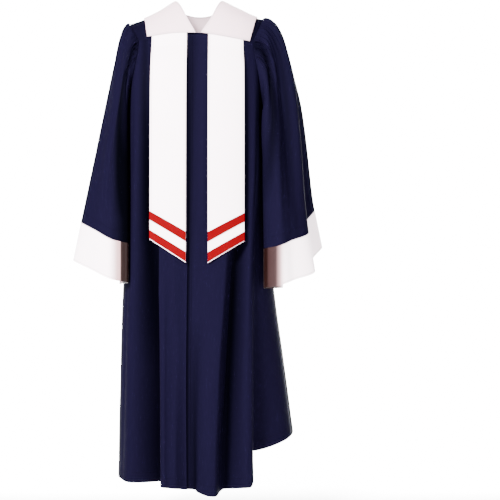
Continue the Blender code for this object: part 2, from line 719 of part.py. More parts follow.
def ring_grid(edges, rings, stand, thickness):
    """Outer and inner faces of a band round the neck, between two edges over the shoulders."""
    inner_x, inner_lean, outer_x, outer_lean = edges
    outer, inner = [], []
    for w in np.linspace(0, 1, rings + 1):
        x = inner_x * (1 - w) + outer_x * w
        lean = inner_lean * (1 - w) + outer_lean * w
        points = shoulder(x, lean)
        normal = shoulder_normals(x, lean)
        outer.append(points + normal * (stand + thickness))
        inner.append(points + normal * stand)
    return np.array(outer), np.array(inner)


def yoke_edges(at):
    """The yoke's two edges at places counted by the rows of YOKE_NECK."""
    rows = np.arange(len(YOKE_NECK))
    inner_x = smooth_curve(rows, column(YOKE_NECK, NECK_COLUMNS, "x"), at)
    inner_lean = smooth_curve(rows, column(YOKE_NECK, NECK_COLUMNS, "lean"), at)
    corner = len(YOKE_OUTER_LEANS) - 1
    from_end = np.minimum(at, rows[-1] - at)
    outer_lean = np.interp(from_end, np.arange(corner + 1), YOKE_OUTER_LEANS)
    right_x = armhole_x("right", outer_lean)
    left_x = armhole_x("left", outer_lean)
    across = (at - corner) / (rows[-1] - 2 * corner)
    back_x = right_x + (left_x - right_x) * across
    outer_x = np.where(at <= corner, right_x, np.where(at >= rows[-1] - corner, left_x, back_x))
    return inner_x, inner_lean, outer_x, outer_lean


def yoke():
    """One yoke over both shoulders: from the front seams to the level seam across the back."""
    last = len(YOKE_NECK) - 1
    at = np.linspace(0, last, last * YOKE_COLUMNS_PER_ROW + 1)
    outer, inner = ring_grid(yoke_edges(at), YOKE_RINGS, -CLOTH, CLOTH)
    wall("yoke", clear_edges(outer), clear_edges(inner), "navy_cloth")


def collar_edges(at):
    """The collar's two edges at places counted by the rows of COLLAR_RING."""
    rows = np.arange(len(COLLAR_RING))
    return [
        smooth_curve(rows, column(COLLAR_RING, RING_COLUMNS, name), at) for name in RING_COLUMNS[1:]
    ]


def collar():
    last = len(COLLAR_RING) - 1
    at = np.linspace(0, last, last * COLLAR_COLUMNS_PER_ROW + 1)
    outer, inner = ring_grid(collar_edges(at), COLLAR_RINGS, COLLAR_STAND, COLLAR_CLOTH)
    wall("collar", outer, inner, "white_satin")


def collar_end_drop(name, x):
    """The drop of the collar's front lower edge at x."""
    row = row_of(COLLAR_RING, f"{name}_end")
    w = (x - row[1]) / (row[3] - row[1])
    return lean_drop(x, row[2] + (row[4] - row[2]) * w)


def front_face(x, drop):
    """The plain front of the body at x and a drop, with no folds."""
    low = np.maximum(drop, ARCH_DROP)
    side = np.where(x > 0, section(low, "left"), section(low, "right"))
    square = section(low, "square")
    depth = section(low, "front") * (1 - (np.abs(x) / side) ** square) ** (1 / square)
    above = np.maximum(ARCH_DROP - drop, 0.0) / (ARCH_DROP - shoulder_drop(x))
    return np.stack([x, -depth * np.sqrt(np.maximum(1 - above**2, 0.0)), -drop], axis=-1)


def front_normals(x, drop):
    normal, _ = surface_normals(front_face, x, drop, 0.002, 0.002)
    return normal * np.where(normal[:, 1:2] > 0, -1.0, 1.0)


def front_sheet(name, x, drops, lifts, thickness, finish):
    """A sheet on the front of the body: a row for each set of drops, moved out by its lifts."""
    faces = []
    for reach in (thickness, 0.0):
        rows = [
            front_face(x, drop) + front_normals(x, drop) * (lift + reach)[:, None]
            for drop, lift in zip(drops, lifts)
        ]
        faces.append(np.array(rows))
    wall(name, faces[0], faces[1], finish)


def tails_and_ribbons():
    for name, inner_x, outer_x, hem_inner, hem_outer in TAILS:
        share = np.linspace(0, 1, TAIL_COLUMNS_ACROSS + 1)
        x = inner_x + (outer_x - inner_x) * share
        hem = hem_inner + (hem_outer - hem_inner) * share
        top = collar_end_drop(name, x) + TAIL_BELOW_COLLAR
        drops = [top + (hem - top) * w for w in np.linspace(0, 1, TAIL_ROWS + 1)]
        settled = [ease((drop - top) / TAIL_SETTLE) for drop in drops]
        lifts = [COLLAR_STAND + (TAIL_STAND - COLLAR_STAND) * w for w in settled]
        front_sheet(f"tail_{name}", x, drops, lifts, TAIL_CLOTH, "white_satin")
        for ribbon, up_inner, up_outer, width_inner, width_outer in RIBBONS:
            low = hem - (up_inner + (up_outer - up_inner) * share)
            high = low - (width_inner + (width_outer - width_inner) * share)
            lift = np.full_like(x, TAIL_STAND + TAIL_CLOTH + GAP)
            drops = (high, (high + low) / 2, low)
            front_sheet(f"ribbon_{ribbon}_{name}", x, drops, (lift,) * 3, RIBBON_CLOTH, "red_ribbon")


def sleeves():
    for name, side, *_ in ARMHOLES:
        gathered = gather_columns(GATHERS_FROM, GATHERS_TO, SLEEVE_GATHERS)
        front = np.linspace(0, GATHERS_FROM, SLEEVE_PLAIN_COLUMNS + 1)[:-1]
        rear = np.linspace(GATHERS_TO, 1, SLEEVE_PLAIN_COLUMNS + 1)[1:-1]
        shares = np.concatenate([front, gathered, rear])
        outer = sleeve_grid(name, shares, SLEEVE_ROWS)
        inner = outer - grid_normals(outer, closed=True) * side * CLOTH
        wall(f"sleeve_{name}", outer, inner, "navy_cloth", closed=True)
        outer = cuff_grid(name, shares, CUFF_ROWS)
        inner = outer - grid_normals(outer, closed=True) * side * CUFF_CLOTH
        wall(f"cuff_{name}", outer, inner, "white_satin", closed=True)


def main():
    for thing in list(bpy.data.objects):
        bpy.data.objects.remove(thing, do_unlink=True)
    body_panels()
    yoke()
    collar()
    tails_and_ribbons()
    sleeves()


main()
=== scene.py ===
"""The looks of a graduation gown: its cloth as thin shells on the solids' own forms, with finer
gathers, creases, hems and seams, and woven, satin and ribbon materials. Metres, +Z up, the front
towards -Y."""

import math

import bpy
import numpy as np
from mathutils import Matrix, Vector


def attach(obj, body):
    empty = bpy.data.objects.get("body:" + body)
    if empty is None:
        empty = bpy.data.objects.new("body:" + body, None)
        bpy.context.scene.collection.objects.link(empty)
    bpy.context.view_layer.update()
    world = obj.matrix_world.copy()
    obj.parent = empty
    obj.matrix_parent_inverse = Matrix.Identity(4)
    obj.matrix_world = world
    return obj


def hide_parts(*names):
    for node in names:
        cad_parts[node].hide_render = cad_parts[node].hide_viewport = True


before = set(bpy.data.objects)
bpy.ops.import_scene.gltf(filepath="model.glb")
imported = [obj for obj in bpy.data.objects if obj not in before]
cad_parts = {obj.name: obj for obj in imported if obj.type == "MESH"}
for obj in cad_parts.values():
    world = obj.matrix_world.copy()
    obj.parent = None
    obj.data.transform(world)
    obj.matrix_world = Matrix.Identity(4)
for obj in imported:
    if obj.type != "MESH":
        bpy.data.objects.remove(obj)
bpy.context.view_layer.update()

# Cloth and seams
CLOTH = 0.0018
COLLAR_CLOTH = 0.0024
TAIL_CLOTH = 0.0020
RIBBON_CLOTH = 0.0012
CUFF_CLOTH = 0.0022
GAP = 0.0003
HALF_SEAM = GAP / 2

# Heights, as drops below the neck points
ARCH_DROP = 0.140
UNDERARM_DROP = 0.340
CHEST_DROP = 0.200
WAIST_DROP = 0.480
KNEE_DROP = 0.900
HEM_DROP = 1.308

# Leans over the shoulders in degrees: -90 is level with the front of the body, 90 with the back
YOKE_FRONT_LEAN = -77.0
YOKE_BACK_LEAN = 90.0

# The body's plain size at each height: how far it reaches to each side, and how square it is
SECTION_COLUMNS = ("drop", "right", "left", "front", "back", "square")
SECTIONS = (
    (0.140, 0.189, 0.176, 0.100, 0.104, 3.0),
    (0.220, 0.190, 0.177, 0.121, 0.112, 2.9),
    (0.340, 0.191, 0.179, 0.133, 0.120, 2.8),
    (0.480, 0.193, 0.184, 0.138, 0.130, 2.7),
    (0.700, 0.198, 0.187, 0.142, 0.150, 2.5),
    (0.900, 0.205, 0.201, 0.145, 0.172, 2.4),
    (1.100, 0.208, 0.220, 0.148, 0.194, 2.3),
    (1.308, 0.210, 0.239, 0.150, 0.215, 2.2),
)

# The ridges and valleys down the body, from the front opening round by the wearer's left. Turns
# are in degrees from straight ahead; outs, lean and lift are in metres, lean towards larger turns
FOLD_COLUMNS = (
    "name", "turn_yoke", "turn_hem", "out_chest", "out_waist", "out_knee", "out_hem", "lean", "lift"
)
BODY_FOLDS = (
    ("front_opening", -2.5, -6.0, -0.001, -0.002, -0.004, -0.014, 0.000, 0.011),
    ("front_left_ridge", 26.0, 8.0, 0.001, 0.004, 0.010, 0.026, 0.004, 0.000),
    ("front_left_valley", 39.0, 17.0, -0.001, -0.012, -0.042, -0.044, 0.000, 0.006),
    ("side_front_ridge", 52.0, 30.5, 0.003, 0.005, 0.006, 0.010, 0.004, 0.016),
    ("side_front_valley", 68.0, 44.0, -0.001, -0.004, -0.016, -0.052, 0.000, 0.100),
    ("left_flare_ridge", 98.0, 112.0, 0.000, 0.002, 0.010, 0.028, 0.000, 0.136),
    ("left_flare_valley", 118.0, 128.0, -0.001, -0.006, -0.016, -0.034, 0.000, 0.122),
    ("back_ridge_1", 134.0, 142.0, 0.002, 0.006, 0.014, 0.026, 0.000, 0.098),
    ("back_valley_1", 146.0, 153.5, -0.002, -0.008, -0.018, -0.032, 0.000, 0.092),
    ("back_ridge_2", 157.0, 166.0, 0.002, 0.007, 0.016, 0.030, 0.000, 0.080),
    ("back_valley_2", 168.0, 176.5, -0.002, -0.007, -0.016, -0.026, 0.000, 0.076),
    ("back_ridge_3", 180.0, 188.0, 0.002, 0.007, 0.015, 0.028, 0.000, 0.068),
    ("back_valley_3", 192.0, 198.0, -0.002, -0.008, -0.018, -0.034, 0.000, 0.066),
    ("back_ridge_4", 204.0, 210.0, 0.002, 0.007, 0.015, 0.026, 0.000, 0.058),
    ("back_valley_4", 217.0, 221.0, -0.002, -0.008, -0.018, -0.030, 0.000, 0.056),
    ("back_ridge_5", 231.0, 235.0, 0.002, 0.006, 0.012, 0.022, 0.000, 0.048),
    ("right_back_valley", 246.0, 249.0, -0.001, -0.006, -0.014, -0.026, 0.000, 0.044),
    ("right_side_ridge", 266.0, 267.0, 0.000, 0.002, 0.004, 0.007, 0.000, 0.032),
    ("right_side_valley", 290.0, 285.0, 0.001, 0.002, 0.005, 0.008, 0.000, 0.026),
    ("right_front_ridge", 309.0, 304.0, 0.003, 0.006, 0.007, 0.009, 0.000, 0.022),
    ("right_front_valley", 331.0, 333.0, -0.002, -0.024, -0.074, -0.086, 0.000, 0.018),
    ("right_panel_edge", 337.5, 338.0, 0.001, 0.004, 0.010, 0.014, -0.008, 0.020),
    ("right_panel_middle", 347.0, 346.0, 0.000, 0.002, 0.004, 0.005, 0.000, 0.016),
)
FULL_TURN = 360.0
FOLDS = len(BODY_FOLDS)

# Places round the body, counted in rows of BODY_FOLDS: the two side seams, and the place in each
# panel from which its cloth is drawn in at the armhole
LEFT_SIDE_SEAM = 4.75
RIGHT_SIDE_SEAM = 17.2
FRONT_LEFT_HELD = 2.0
BACK_LEFT_HELD = 7.0
BACK_RIGHT_HELD = 14.0
FRONT_RIGHT_HELD = 20.0

# The fine gathers under the yoke's seam across the back
BACK_GATHERS = 30
BACK_GATHERS_FROM = -0.144
BACK_GATHERS_TO = 0.134
BACK_GATHER_DEPTH = 0.0020
GATHER_START = 0.010
GATHER_LENGTH = 0.120
GATHER_END_SOFTNESS = 5.0
GATHER_CLEARANCE = 0.1

# The shoulder line from the wearer's right to left
SHOULDER_COLUMNS = ("x", "drop")
SHOULDER_LINE = (
    (-0.190, 0.065),
    (-0.150, 0.053),
    (-0.105, 0.032),
    (-0.063, 0.006),
    (0.000, -0.008),
    (0.064, 0.005),
    (0.110, 0.027),
    (0.158, 0.048),
    (0.176, 0.052),
)

# The armholes: their x over the shoulder and at the two lower corners of the yoke
ARMHOLE_COLUMNS = ("name", "side", "shoulder_x", "front_x", "back_x", "cap_reach", "cap_rise")
ARMHOLES = (
    ("right", -1.0, 0.187, 0.156, 0.160, 0.030, 0.006),
    ("left", 1.0, 0.172, 0.146, 0.148, 0.082, 0.020),
)
ARMHOLE_BEND = 1.5
FRONT_STRETCH = 0.34
OVER_STRETCH = 0.32

# The ridges and valleys of the sleeves, from the underarm round the front. The head is a share of
# the way round the armhole; x is out from the middle, and mid is the cloth's rise at half length
SLEEVE_COLUMNS = ("name", "head", "x", "y", "drop", "mid")
SLEEVE_FOLDS = {
    "right": (
        ("inner", 0.00, 0.211, 0.020, 0.664, 0.000),
        ("inner_front", 0.07, 0.208, -0.035, 0.661, 0.002),
        ("front_valley", 0.15, 0.181, -0.101, 0.657, 0.004),
        ("front_ridge", 0.24, 0.220, -0.110, 0.648, 0.010),
        ("front_middle", 0.36, 0.268, -0.090, 0.623, -0.002),
        ("outer_ridge", 0.50, 0.317, -0.022, 0.599, -0.004),
        ("outer_back", 0.60, 0.303, 0.060, 0.603, -0.004),
        ("back_ridge", 0.71, 0.268, 0.132, 0.618, 0.006),
        ("back_valley", 0.82, 0.230, 0.115, 0.640, -0.006),
        ("inner_back", 0.92, 0.213, 0.075, 0.655, 0.002),
    ),
    "left": (
        ("inner", 0.00, 0.223, 0.020, 0.672, 0.000),
        ("inner_front", 0.07, 0.214, -0.038, 0.673, 0.002),
        ("front_valley", 0.14, 0.174, -0.086, 0.672, 0.006),
        ("front_ridge", 0.23, 0.218, -0.122, 0.662, 0.008),
        ("middle_valley", 0.31, 0.246, -0.102, 0.650, -0.014),
        ("front_outer_ridge", 0.41, 0.294, -0.058, 0.630, 0.006),
        ("outer_valley", 0.50, 0.288, 0.012, 0.603, 0.004),
        ("rear_ridge", 0.60, 0.318, 0.078, 0.563, 0.014),
        ("back_ridge", 0.71, 0.282, 0.138, 0.578, 0.002),
        ("back_valley", 0.82, 0.240, 0.112, 0.612, -0.008),
        ("inner_back", 0.92, 0.225, 0.078, 0.650, 0.002),
    ),
}
SEAM_REACH = 0.034
SEAM_FALL = 0.050
SEAM_STAND = 0.010
SLEEVE_STAND = 0.0006
REACH_FROM_UNDERARM = 0.36
HEM_PULL = 0.200
HEM_SPLAY = 1.75
HEM_SPLAY_FROM = 0.200
CUFF_SEAM = 0.0005
CUFF_LENGTH = 0.104
CUFF_FLARE = 0.10
SLEEVE_GATHERS = 36
GATHERS_FROM = 0.24
GATHERS_TO = 0.76
SLEEVE_GATHER_DEPTH = 0.0019
SLEEVE_GATHER_START = 0.04
SLEEVE_GATHER_LENGTH = 0.34
MID_SPREAD = 1.5

# The yoke and the collar from the front right end round the back of the neck to the front left
RING_COLUMNS = ("name", "inner_x", "inner_lean", "outer_x", "outer_lean")
COLLAR_RING = (
    ("right_end", -0.0050, -76.0, -0.1315, -73.0),
    ("right_chest", -0.033, -52.0, -0.138, -46.0),
    ("right_neck", -0.063, -6.0, -0.1475, 4.0),
    ("right_nape", -0.052, 30.0, -0.126, 52.0),
    ("right_back", -0.028, 40.0, -0.074, 72.0),
    ("back_middle", 0.000, 43.0, 0.000, 78.0),
    ("left_back", 0.028, 40.0, 0.076, 72.0),
    ("left_nape", 0.052, 30.0, 0.132, 52.0),
    ("left_neck", 0.063, -6.0, 0.157, 4.0),
    ("left_chest", 0.040, -52.0, 0.148, -46.0),
    ("left_end", 0.0095, -76.0, 0.1356, -80.5),
)
COLLAR_STAND = 0.0019
NECK_COLUMNS = ("name", "x", "lean")
YOKE_NECK = (
    ("right_end", -0.022, YOKE_FRONT_LEAN),
    ("right_chest", -0.050, -48.0),
    ("right_neck", -0.076, -2.0),
    ("right_nape", -0.074, 38.0),
    ("right_corner", -0.062, 56.0),
    ("right_back", -0.034, 62.0),
    ("back_middle", 0.000, 64.0),
    ("left_back", 0.034, 62.0),
    ("left_corner", 0.062, 56.0),
    ("left_nape", 0.074, 38.0),
    ("left_neck", 0.076, -2.0),
    ("left_chest", 0.050, -48.0),
    ("left_end", 0.022, YOKE_FRONT_LEAN),
)
YOKE_OUTER_LEANS = (-77.0, -44.0, 0.0, 48.0, 90.0)

# The stole tails: their two edges, and the drops at each edge of the ribbons that cross them
TAIL_COLUMNS = ("name", "inner_x", "outer_x", "hem_inner", "hem_outer")
TAILS = (
    ("right", -0.0275, -0.1190, 0.7075, 0.6471),
    ("left", 0.0285, 0.1190, 0.7086, 0.6523),
)
TAIL_BELOW_COLLAR = 0.0007
TAIL_STAND = 0.0085
TAIL_SETTLE = 0.080
RIBBON_COLUMNS = ("name", "up_inner", "up_outer", "width_inner", "width_outer")
RIBBONS = (
    ("upper", 0.0545, 0.0510, 0.0256, 0.0228),
    ("lower", 0.0020, 0.0020, 0.0256, 0.0228),
)

# The visible shells' thickness, and how finely each is divided
SHELL = 0.0010
SATIN_SHELL = 0.0018
PLACES_PER_FOLD = 14
PLACES_PER_GATHER = 6
PANEL_ROWS = 150
SLEEVE_GATHER_PLACES = 6
SLEEVE_PLAIN_PLACES = 44
SLEEVE_GRID_ROWS = 120
CUFF_GRID_ROWS = 16
YOKE_GRID_RINGS = 26
YOKE_PLACES_PER_ROW = 12
COLLAR_GRID_RINGS = 30
COLLAR_PLACES_PER_ROW = 20
TAIL_PLACES = 36
TAIL_GRID_ROWS = 220
RIBBON_GRID_ROWS = 10
READING_STEP = 0.25
SHARP_ANGLE = 60.0

# Soft creases of the body, troughs with a negative depth and ridges with a positive one. u is a
# place round the body, the width is in rows of BODY_FOLDS, and bow is how far the middle strays
BODY_CREASE_COLUMNS = ("name", "u_top", "drop_top", "u_low", "drop_low", "width", "depth", "bow")
BODY_CREASES = (
    ("centre_tuck", 0.40, 0.090, 0.36, 0.185, 0.14, -0.0022, 0.00),
    ("centre_under", 0.00, -0.400, 0.00, 2.000, 0.09, -0.0026, 0.00),
    ("centre_lap", 0.20, 0.700, 0.24, 1.700, 0.16, -0.0130, 0.00),
    ("centre_roll", 0.62, 0.980, 0.80, 1.420, 0.20, 0.0040, 0.00),
    ("between_tails_left", 0.52, 0.200, 0.50, 0.640, 0.16, -0.0016, 0.04),
    ("between_tails_right", 22.70, 0.240, 22.74, 0.700, 0.14, 0.0014, -0.03),
    ("right_panel_edge", 21.42, 0.740, 21.30, 1.560, 0.16, 0.0046, 0.00),
    ("right_panel_under", 20.95, 0.800, 20.98, 1.560, 0.20, -0.0110, 0.00),
    ("right_dark_fold", 20.20, 0.620, 20.40, 1.500, 0.26, -0.0060, 0.05),
    ("right_inner_fold", 19.75, 0.260, 19.66, 0.760, 0.20, -0.0050, 0.03),
    ("right_upper_ridge", 19.10, 0.230, 19.16, 0.700, 0.22, 0.0030, 0.00),
    ("right_side_line", 18.55, 0.700, 18.45, 1.360, 0.18, -0.0028, 0.06),
    ("right_panel_soft", 22.10, 0.820, 21.80, 1.180, 0.24, -0.0018, 0.10),
    ("right_panel_low", 22.30, 1.060, 22.00, 1.420, 0.22, 0.0018, -0.06),
    ("left_panel_soft", 1.40, 0.760, 0.95, 1.120, 0.26, -0.0020, 0.10),
    ("left_panel_low", 1.62, 1.080, 1.40, 1.400, 0.20, -0.0034, 0.05),
    ("left_valley_edge", 1.72, 0.640, 1.70, 1.100, 0.14, 0.0026, 0.00),
    ("left_valley_deep", 2.34, 0.560, 2.10, 1.300, 0.28, -0.0060, 0.08),
    ("left_valley_side", 2.92, 0.760, 2.70, 1.240, 0.16, 0.0030, 0.00),
    ("left_ridge_line", 3.30, 0.800, 3.20, 1.450, 0.22, 0.0050, 0.03),
    ("left_side_soft", 3.46, 0.840, 3.60, 1.300, 0.20, -0.0030, 0.05),
    ("left_flare_line", 4.50, 0.760, 4.40, 1.320, 0.22, -0.0024, 0.05),
    ("left_upper_fold", 3.40, 0.240, 3.10, 0.640, 0.20, -0.0036, 0.05),
    ("back_crease_1", 6.40, 0.330, 6.30, 0.900, 0.16, -0.0030, 0.10),
    ("back_crease_2", 7.45, 0.420, 7.60, 1.240, 0.15, 0.0034, 0.06),
    ("back_crease_3", 8.40, 0.300, 8.30, 0.840, 0.16, -0.0030, -0.08),
    ("back_crease_4", 9.60, 0.520, 9.45, 1.420, 0.15, -0.0036, 0.06),
    ("back_crease_5", 10.50, 0.280, 10.60, 0.960, 0.16, 0.0030, 0.06),
    ("back_crease_6", 11.55, 0.360, 11.35, 1.120, 0.16, -0.0034, -0.10),
    ("back_crease_7", 12.50, 0.480, 12.60, 1.440, 0.15, 0.0032, 0.05),
    ("back_crease_8", 13.60, 0.300, 13.50, 0.780, 0.16, -0.0030, 0.08),
    ("back_crease_9", 14.45, 0.440, 14.55, 1.180, 0.16, -0.0034, 0.05),
    ("back_crease_10", 15.50, 0.520, 15.40, 1.320, 0.16, 0.0030, -0.06),
    ("right_back_crease", 16.45, 0.460, 16.60, 1.300, 0.18, -0.0030, 0.06),
    ("right_seam_crease", 17.60, 0.520, 17.50, 1.120, 0.20, -0.0026, 0.08),
)

# Soft creases of the sleeves: share is a place round the sleeve and t runs from armhole to cuff
SLEEVE_CREASE_COLUMNS = ("name", "share_top", "t_top", "share_low", "t_low", "width", "depth", "bow")
SLEEVE_CREASES = {
    "right": (
        ("front_tuck", 0.335, 0.020, 0.215, 0.330, 0.018, -0.0060, 0.000),
        ("front_roll", 0.375, 0.030, 0.270, 0.420, 0.018, 0.0044, 0.010),
        ("head_fold_1", 0.415, 0.030, 0.345, 0.520, 0.020, -0.0040, 0.010),
        ("head_fold_2", 0.465, 0.030, 0.430, 0.420, 0.018, 0.0030, 0.004),
        ("head_fold_3", 0.530, 0.030, 0.520, 0.520, 0.020, -0.0036, -0.008),
        ("head_fold_4", 0.590, 0.030, 0.610, 0.460, 0.018, 0.0034, 0.006),
        ("head_fold_5", 0.650, 0.030, 0.690, 0.560, 0.020, -0.0044, 0.006),
        ("head_fold_6", 0.700, 0.030, 0.760, 0.400, 0.018, 0.0034, 0.000),
        ("front_long", 0.330, 0.300, 0.300, 0.980, 0.030, -0.0050, 0.012),
        ("middle_soft", 0.430, 0.420, 0.410, 1.150, 0.034, -0.0036, -0.012),
        ("outer_soft", 0.560, 0.360, 0.560, 1.050, 0.036, -0.0034, 0.010),
        ("back_long", 0.660, 0.400, 0.650, 1.120, 0.030, 0.0040, -0.010),
    ),
    "left": (
        ("front_tuck", 0.340, 0.060, 0.205, 0.520, 0.020, -0.0076, -0.018),
        ("front_roll", 0.372, 0.060, 0.262, 0.640, 0.018, 0.0050, -0.014),
        ("long_valley", 0.392, 0.060, 0.342, 0.900, 0.024, -0.0110, -0.012),
        ("long_ridge", 0.430, 0.060, 0.400, 0.840, 0.022, 0.0050, -0.006),
        ("head_fold_1", 0.476, 0.030, 0.452, 0.520, 0.018, -0.0040, 0.004),
        ("head_fold_2", 0.520, 0.030, 0.512, 0.420, 0.018, 0.0032, 0.000),
        ("head_fold_3", 0.566, 0.030, 0.574, 0.560, 0.020, -0.0042, 0.006),
        ("head_fold_4", 0.620, 0.030, 0.640, 0.440, 0.018, 0.0034, -0.004),
        ("head_fold_5", 0.676, 0.030, 0.710, 0.520, 0.020, -0.0044, 0.006),
        ("front_edge_wave_1", 0.170, 0.080, 0.165, 0.300, 0.030, -0.0040, 0.000),
        ("front_edge_wave_2", 0.170, 0.260, 0.160, 0.560, 0.030, 0.0040, 0.000),
        ("middle_soft", 0.300, 0.460, 0.290, 1.060, 0.030, 0.0040, 0.010),
        ("outer_soft", 0.500, 0.420, 0.505, 1.100, 0.030, -0.0060, 0.010),
        ("back_long", 0.655, 0.400, 0.650, 1.120, 0.030, -0.0040, -0.010),
    ),
}

# Painted shade where folds press together and over the yoke, laid out as the creases are: 1 is the deepest
PAINTED_SHADE_COLUMNS = ("name", "place_top", "down_top", "place_low", "down_low", "width", "tone", "bow")
BODY_PAINTED_SHADE = (
    ("right_valley", 19.95, 0.300, 19.90, 2.300, 0.44, 0.96, 0.00),
    ("right_upper_fold", 19.55, -0.100, 19.50, 1.000, 0.26, 0.75, 0.00),
    ("left_valley", 2.20, 0.150, 2.00, 1.420, 0.40, 0.80, 0.05),
    ("centre_fold", 0.24, 0.850, 0.26, 2.000, 0.13, 0.80, 0.00),
    ("centre_seam", 0.03, -0.300, 0.03, 1.900, 0.05, 0.85, 0.00),
    ("left_armhole_side", 4.25, -0.200, 4.25, 0.700, 0.45, 0.45, 0.00),
)
SLEEVE_PAINTED_SHADE = {
    "right": (
        ("inner_upper", 0.350, -0.150, 0.200, 0.900, 0.045, 0.85, 0.000),
        ("inner_lower", 0.200, 0.100, 0.150, 2.000, 0.055, 0.95, 0.000),
        ("inner_edge", 0.130, -0.400, 0.130, 2.000, 0.040, 0.70, 0.000),
    ),
    "left": (
        ("inner_upper", 0.350, -0.200, 0.170, 0.800, 0.032, 0.85, 0.000),
        ("long_line", 0.400, -0.100, 0.335, 1.100, 0.016, 0.50, 0.000),
        ("inner_edge", 0.125, -0.400, 0.125, 2.000, 0.030, 0.80, 0.000),
    ),
}
# painted shade laid evenly over the yoke's upward-facing top
YOKE_PAINTED_SHADE = 0.35
FINE_GATHERS = 54
FINE_GATHER_DEPTH = 0.0013
FINE_GATHER_END = 0.20

# Turned hems and seams: how wide and how thick the doubled cloth is, and how far a sleeve's head
# turns in under its seam
SEAM_TUCK = 0.008
SEAM_LAP = 0.006
SLEEVE_LAP = 0.004

# How far the left front runs behind the right one, in rows of BODY_FOLDS
CENTRE_LAP = 0.05
HEM_WIDTH = 0.028
HEM_STEP = 0.0005
STEP_SOFTNESS = 0.0015

THREAD_PITCH = 0.0006

# The studio: a row for each light, with its place, what it points at, its width and its power
FLOOR_Z = -1.42
LIGHTS = (
    ("key", (-2.1, -4.3, 2.1), (0.0, 0.0, -0.5), 1.5, 2420.0),
    ("fill", (2.8, -2.6, 0.1), (0.0, 0.0, -0.7), 2.2, 150.0),
    ("top", (0.2, -0.9, 2.4), (0.0, 0.0, -0.1), 1.2, 25.0),
    ("rear", (0.6, 3.0, 0.9), (0.0, 0.0, -0.6), 1.6, 220.0),
)
WORLD_STRENGTH = 0.5
PAPER_GLOW = 12.0
CAMERA_PLACE = (0.1382, -3.2, -0.675)
CAMERA_LENS = 85.0

# The columns for the cut of each piece as it shows, without seam allowances: its widest and longest
# flat size and its flat area, in metres, how it is held, and what it hangs from or lies on
SHEET_COLUMNS = ("name", "width", "length", "area", "held", "rests_on")

def column(table, names, wanted):
    """One named column of a table, as an array."""
    return np.array([row[names.index(wanted)] for row in table])


def row_of(table, name):
    """The row of a table with that name."""
    return next(row for row in table if row[0] == name)


def smooth_curve(keys, values, at):
    """The values read at any place between the keys, on one smooth curve."""
    keys = np.asarray(keys, float)
    values = np.asarray(values, float)
    at = np.clip(at, keys[0], keys[-1])
    slopes = np.gradient(values, keys, axis=0)
    first = np.clip(np.searchsorted(keys, at, side="right") - 1, 0, len(keys) - 2)
    step = keys[first + 1] - keys[first]
    t = (at - keys[first]) / step
    if values.ndim > 1:
        step = step[:, None]
        t = t[:, None]
    return (
        values[first] * (1 + 2 * t) * (1 - t) ** 2
        + slopes[first] * step * t * (1 - t) ** 2
        + values[first + 1] * t * t * (3 - 2 * t)
        + slopes[first + 1] * step * t * t * (t - 1)
    )


def closed_curve(keys, values, at):
    """Like smooth_curve, on a closed curve whose keys go once round from 0 to 1."""
    keys = np.asarray(keys, float)
    values = np.asarray(values, float)
    keys = np.concatenate([keys[-2:] - 1, keys, keys[:3] + 1])
    values = np.concatenate([values[-2:], values, values[:3]])
    return smooth_curve(keys, values, np.asarray(at, float) % 1.0)


def ease(t):
    """0 up to t = 0, 1 from t = 1, with a soft start and end."""
    t = np.clip(t, 0.0, 1.0)
    return t * t * (3 - 2 * t)


def unit(vectors):
    return vectors / np.linalg.norm(vectors, axis=-1, keepdims=True)


def section(drop, name):
    """One size of the body's plain section at a drop."""
    return smooth_curve(
        column(SECTIONS, SECTION_COLUMNS, "drop"), column(SECTIONS, SECTION_COLUMNS, name), drop
    )


def shoulder_drop(x):
    return smooth_curve(
        column(SHOULDER_LINE, SHOULDER_COLUMNS, "x"),
        column(SHOULDER_LINE, SHOULDER_COLUMNS, "drop"),
        x,
    )


def lean_drop(x, lean):
    """The drop of the place over the shoulders with that x and lean."""
    return ARCH_DROP - (ARCH_DROP - shoulder_drop(x)) * np.cos(np.radians(lean))


def shoulder(x, lean):
    """A point over the shoulders, where the body rounds over from its front to its back."""
    x = np.asarray(x, float)
    lean = np.asarray(lean, float) + np.zeros_like(x)
    side = np.where(x > 0, section(ARCH_DROP, "left"), section(ARCH_DROP, "right"))
    square = section(ARCH_DROP, "square")
    depth = np.where(lean < 0, section(ARCH_DROP, "front"), section(ARCH_DROP, "back"))
    depth = depth * np.maximum(1 - (np.abs(x) / side) ** square, 1e-6) ** (1 / square)
    return np.stack([x, depth * np.sin(np.radians(lean)), -lean_drop(x, lean)], axis=-1)


def fold_value(u, name):
    """A fold column read round the body: it eases from each ridge or valley to the next."""
    values = column(BODY_FOLDS, FOLD_COLUMNS, name)
    first = np.floor(u).astype(int)
    t = ease(u - first)
    return values[first % FOLDS] * (1 - t) + values[(first + 1) % FOLDS] * t


def fold_turn(u, drop):
    """The turn in degrees of place u round the body, where u counts the rows of BODY_FOLDS."""
    share = ease((drop - ARCH_DROP) / (HEM_DROP - ARCH_DROP))
    first = np.floor(u).astype(int)
    turns = []
    for index in (first, first + 1):
        lap = FULL_TURN * (index // FOLDS)
        yoke = column(BODY_FOLDS, FOLD_COLUMNS, "turn_yoke")[index % FOLDS]
        hem = column(BODY_FOLDS, FOLD_COLUMNS, "turn_hem")[index % FOLDS]
        turns.append(lap + yoke + (hem - yoke) * share)
    return turns[0] + (turns[1] - turns[0]) * (u - first)


def plain_ring(turn, drop):
    """The x and y of the body's plain section, with no folds."""
    angle = np.radians(turn)
    power = 2 / section(drop, "square")
    side = np.where(np.sin(angle) > 0, section(drop, "left"), section(drop, "right"))
    depth = np.where(np.cos(angle) > 0, section(drop, "front"), section(drop, "back"))
    x = side * np.sign(np.sin(angle)) * np.abs(np.sin(angle)) ** power
    y = -depth * np.sign(np.cos(angle)) * np.abs(np.cos(angle)) ** power
    return x, y


